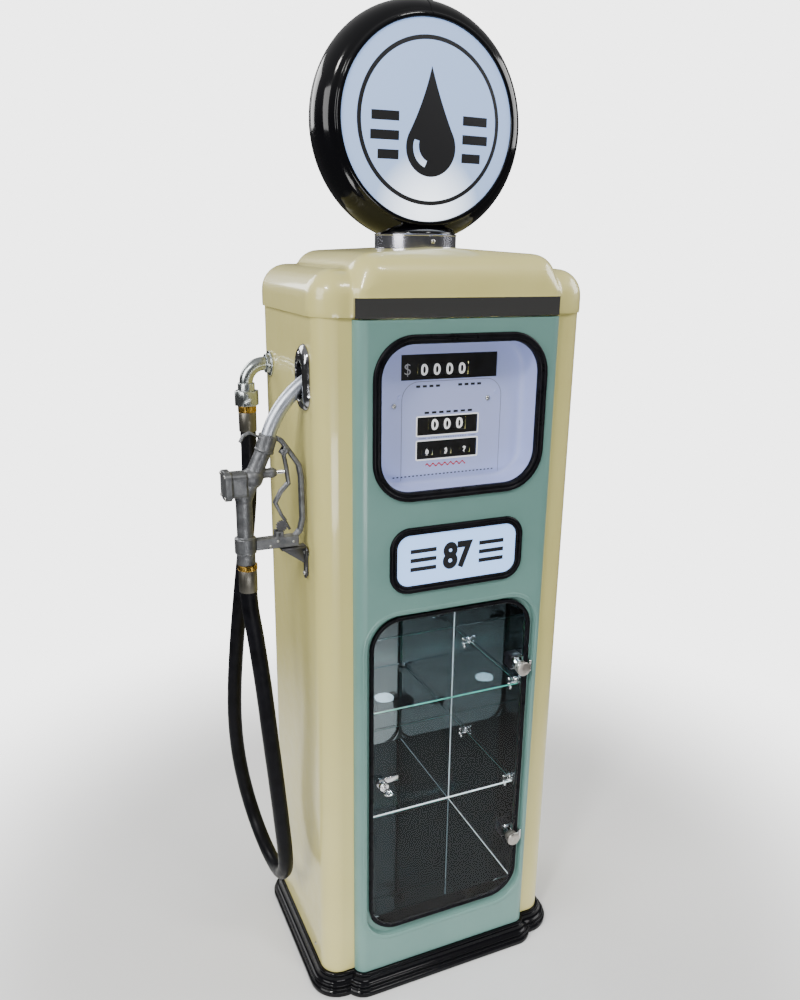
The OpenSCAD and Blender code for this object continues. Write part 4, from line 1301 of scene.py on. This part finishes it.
def make_nozzle_fittings():
    """Collar rings, cover screws and pins of the nozzle."""
    lean = math.radians(72)
    along = Vector((math.cos(lean), 0, math.sin(lean)))
    foot = Vector((-339, NOZZLE_Y, 1221))
    collar = [
        (16.2, -30), (17.4, -29), (17.8, -27), (17.4, -25), (16.8, -24.4), (16.8, -2), (17.4, -1.4),
        (17.5, 0.6),
    ]
    collar += [(16.6, 1.6), (13.6, 2), (13.6, -30)]
    ring = ring_lathe("spout_collar", collar, foot, along, CAST, 64, 40)
    finish_piece(ring, "nozzle", "cast_grey")
    for i, (dy, z) in enumerate(((-17, 1117), (17, 1117), (-17, 1157), (17, 1157))):
        place = (-424, NOZZLE_Y + dy, z)
        screw_head(f"cover_screw_{i + 1}", place, (-1, 0, 0), 3.2, SCREW, "nozzle", "cast_grey")
    for i, (x, z) in enumerate(((-344, 1016), (-300, 1020), (-330, 1024))):
        screw_head(f"arm_pin_{i + 1}", (x, NOZZLE_Y - 11, z), (0, -1, 0), 2.4, SCREW, "nozzle", "cast_grey")
    gland = [(9.2, 0), (9.6, 1), (9.6, 8), (8.6, 9.4), (7, 12), (6.4, 13.5), (3.8, 14), (3.8, 0)]
    nut = ring_lathe("stem_gland", gland, (-340, NOZZLE_Y, 1153), (1, 0, 0), CAST, 32, 40)
    finish_piece(nut, "nozzle", "cast_grey")


make_nozzle_fittings()


def gear_outline(radius, teeth, tooth):
    points = []
    for i in range(teeth):
        for k, r in ((0.0, radius - tooth), (0.3, radius), (0.55, radius), (0.85, radius - tooth)):
            a = 2 * math.pi * (i + k) / teeth
            points.append((r * math.cos(a), r * math.sin(a)))
    return points


def make_rack_ring():
    """Notched ring of the hold-open rack."""
    outer = gear_outline(11, 14, 1.8)
    inner = [(5 * math.cos(math.atan2(v, u)), 5 * math.sin(math.atan2(v, u))) for u, v in outer]
    points = []
    for y in (-6.5, -1.5):
        for ring in (outer, inner):
            points += [Vector((-320 + u, NOZZLE_Y + y, 1051 + v)) * MM for u, v in ring]
    n = len(outer)
    faces = []
    for j in range(n):
        m = (j + 1) % n
        faces += [(j, m, n + m, n + j), (2 * n + j, 3 * n + j, 3 * n + m, 2 * n + m)]
        faces += [(j, 2 * n + j, 2 * n + m, m), (n + j, n + m, 3 * n + m, 3 * n + j)]
    ring = mesh_object("rack_ring", points, faces, IRON, 30)
    finish_piece(ring, "rack", "hook_iron")


make_rack_ring()


def fluted(name, base, axis, radius, length, flutes, material, body):
    """Knurled ring: small upright ridges between two plain rims."""
    steps = flutes * 4
    axis, around = spokes(axis, steps)
    rows = [
        (0, radius - 1.4, 0), (0.4, radius - 0.3, 0), (1.4, radius, 0), (1.8, radius, 1),
        (length - 1.8, radius, 1),
    ]
    rows += [(length - 1.4, radius, 0), (length - 0.4, radius - 0.3, 0), (length, radius - 1.4, 0)]
    points = []
    for height, r, ridge in rows:
        for j, spoke in enumerate(around):
            depth = ridge * (0.0, 0.45, 0.9, 0.45)[j % 4]
            points.append(Vector(base) * MM + axis * height * MM + spoke * (r - depth) * MM)
    ring = mesh_object(name, points, ring_faces(len(rows), steps), material, 30)
    return finish_piece(ring, body, "ferrule_steel")


def make_ferrule(name, base, length, radius, material, body):
    """Pressed steel sleeve with rolled ends."""
    profile = [(radius - 2, 0), (radius - 0.5, 0.2), (radius, 1)]
    profile += [(radius, length - 1), (radius - 0.5, length - 0.2), (radius - 2, length)]
    sleeve = lathe(name, profile, base, (0, 0, 1), material, 48, 40)
    return finish_piece(sleeve, body, "ferrule_steel")


make_ferrule("sleeve_top", (-321, 118, 1185), 39.5, 18, FERRULE, "root")
fluted("brass_top", (-321, 118, 1224), (0, 0, 1), 18.6, 14, 24, BRASS, "root")
make_ferrule("sleeve_nozzle", (-386, NOZZLE_Y, 930), 43.5, 17.2, FERRULE, "nozzle")
fluted("brass_nozzle", (-386, NOZZLE_Y, 973), (0, 0, 1), 18.2, 11, 24, BRASS, "nozzle")
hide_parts("ferrule_top")
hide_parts("ferrule_nozzle")
finish_piece(bevelled_copy("hex_nut", "swivel_nut", 1.2, ZINC, 2), "root", "zinc_pipe")
finish_piece(bevelled_copy("pipe_flange", "elbow_flange", 0.9, ZINC, 3), "root", "zinc_pipe")


def make_boot():
    """Domed oval plate round the mouth that holds the spout, with its black sleeve."""
    place = facing_left(-SIDE_MM)
    outer = rounded_rect(62, 1264, 1382, 31, 14)
    inner = rounded_rect(40, 1283, 1353, 20, 14)
    rows = [
        (0.0, 0.0), (-0.02, 1.2), (0.02, 3.4), (0.12, 6.8), (0.3, 9.6), (0.55, 11.2), (0.8, 11.9),
        (0.93, 12), (1.0, 11),
    ]
    rows += [(1.02, 9), (1.02, -20)]

    def ring(blend, forward):
        return [
            place(-110 + a[0] + (b[0] - a[0]) * blend, a[1] + (b[1] - a[1]) * blend, forward)
            for a, b in zip(outer, inner)
        ]

    points = [p for blend, forward in rows for p in ring(blend, forward)]
    points += ring(0.9, -20) + ring(0.9, 0)
    faces = ring_faces(len(rows) + 2, len(outer), closed_rings=True)
    plate = mesh_object("boot_plate", points, faces, BOOT_CHROME, 50)
    finish_piece(plate, "root", "chrome_fittings", "nozzle_boot")
    sleeve_rows = [(1.03, 10), (1.1, 9.6), (1.16, 6), (1.16, -50), (1.05, -50), (1.05, 6)]
    points = [p for blend, forward in sleeve_rows for p in ring(blend, forward)]
    sleeve = mesh_object("boot_sleeve", points, ring_faces(6, len(outer), closed_rings=True), RUBBER, 50)
    finish_piece(sleeve, "root", "glazing_rubber")
    end = [p for forward in (-50, -53) for p in ring(1.02, forward)]
    stop = mesh_object("boot_end", end, ring_faces(2, len(outer)), RUBBER, 50)
    finish_piece(stop, "root", "glazing_rubber")
    screw = (-SIDE_MM - 9.4, -110, 1366)
    screw_head("boot_screw", screw, (-1, 0, 0.25), 4.6, CHROME, "root", "chrome_fittings")


make_boot()


def make_hook_plate():
    """Waisted wall plate of the hook bracket, with its two screws."""
    half = [
        (1004, 11.5), (999, 12.5), (992, 11.5), (985, 8.2), (977, 6), (964, 5.2), (956, 6.2),
        (949, 6.8),
    ]
    half += [(943, 5.6), (939.6, 2.6)]
    outline = [(NOZZLE_Y + w, z) for z, w in half] + [(NOZZLE_Y - w, z) for z, w in reversed(half)]
    work = bmesh.new()
    face = work.faces.new([work.verts.new(Vector((-SIDE_MM - 4.2, y, z)) * MM) for y, z in outline])
    grown = bmesh.ops.extrude_face_region(work, geom=[face])
    for vert in (v for v in grown["geom"] if isinstance(v, bmesh.types.BMVert)):
        vert.co.x -= 2.6 * MM
    front = [e for e in work.edges if all(abs(v.co.x + (SIDE_MM + 6.8) * MM) < 1e-5 for v in e.verts)]
    bmesh.ops.bevel(work, geom=front, offset=1.0 * MM, segments=3, affect="EDGES", profile=0.5)
    plate = bmesh_object("hook_plate", work, IRON)
    finish_piece(plate, "root", "hook_iron")
    for i, z in enumerate((993, 950)):
        place = (-SIDE_MM - 6.4, NOZZLE_Y, z)
        screw_head(f"hook_screw_{i + 1}", place, (-1, 0, 0), 4.2, SCREW, "root", "screw_steel")


make_hook_plate()
finish_piece(bevelled_copy("hook_shelf", "hook_bracket", 0.8, IRON, 2), "root", "hook_iron")

# ---------- studio ----------


def make_floor():
    """Round pale floor that fades into the backdrop."""
    steps = 96
    rows = (0.0, 0.7, 1.2, 1.9)
    points = [spoke * r for r in rows for spoke in spokes((0, 0, 1), steps)[1]]
    faces = ring_faces(len(rows), steps, caps=False)
    material = shader("floor_pale", (0.76, 0.76, 0.76), 0.7)
    tree = material.node_tree
    away = tree.nodes.new("ShaderNodeVectorMath")
    away.operation = "LENGTH"
    tree.links.new(place_node(tree), away.inputs[0])
    fade = spread(tree, away.outputs["Value"], 1.0, 0.0, 0.75, 1.8)
    fade.interpolation_type = "SMOOTHSTEP"
    feed(material, fade.outputs["Result"], "Alpha")
    floor = mesh_object("floor", points, faces, material)
    clean(floor)


def area_light(name, place, target, size, power, color):
    data = bpy.data.lights.new(name, "AREA")
    data.shape = "RECTANGLE"
    data.size, data.size_y = size
    data.energy = power
    data.color = color
    light = new_object(name, data)
    light.location = place
    light.rotation_mode = "QUATERNION"
    light.rotation_quaternion = (Vector(target) - Vector(place)).to_track_quat("-Z", "Y")


def make_world():
    """Pale backdrop, and plain soft light that grows from the horizon up."""
    world = bpy.data.worlds.new("studio")
    bpy.context.scene.world = world
    world.use_nodes = True
    tree = world.node_tree
    tree.nodes.clear()
    way = tree.nodes.new("ShaderNodeTexCoord").outputs["Generated"]
    upward = add_node(tree, "SeparateXYZ", Vector=way).outputs["Z"]
    height = spread(tree, upward, 0.0, 1.0, -1.0, 1.0).outputs["Result"]
    bands = ((0.0, 0.12), (0.42, 0.08), (0.49, 0.06), (0.56, 0.1), (0.66, 0.26), (0.8, 0.45), (1.0, 0.55))
    base = ramp(tree, height, [(position, (grey, grey, grey)) for position, grey in bands])
    room = add_node(tree, "Background", Color=base)
    seen = add_node(tree, "Background", Color=(1, 1, 1, 1), Strength=4.0)
    mix = add_node(tree, "MixShader", Fac=tree.nodes.new("ShaderNodeLightPath").outputs["Is Camera Ray"])
    tree.links.new(room.outputs["Background"], mix.inputs[1])
    tree.links.new(seen.outputs["Background"], mix.inputs[2])
    add_node(tree, "OutputWorld", Surface=mix.outputs["Shader"])


make_floor()
make_world()
WARM = (1, 0.99, 0.96)
WHITE = (1, 1, 1)
for light in (
    ("key_left", (-5.44, -4.76, 7.41), (0, -0.2, 1.25), (1.2, 1.2), 400, WARM),
    ("key_right", (2.08, -4.76, 7.41), (0, -0.2, 1.25), (1.2, 1.2), 180, WARM),
    ("left_fill", (-2.8, -0.9, 2.3), (0, 0, 0.4), (1.6, 1.6), 72, WHITE),
    ("low_fill", (-0.6, -3.0, 0.35), (0, 0, 0.2), (1.6, 0.5), 34, WHITE),
    ("rear_fill", (-1.6, 2.6, 2.6), (0, 0, 1.0), (1.6, 1.6), 60, WHITE),
    ("right_fill", (2.6, -0.5, 2.4), (0, 0, 0.3), (1.6, 1.6), 66, WHITE),
):
    area_light(*light)
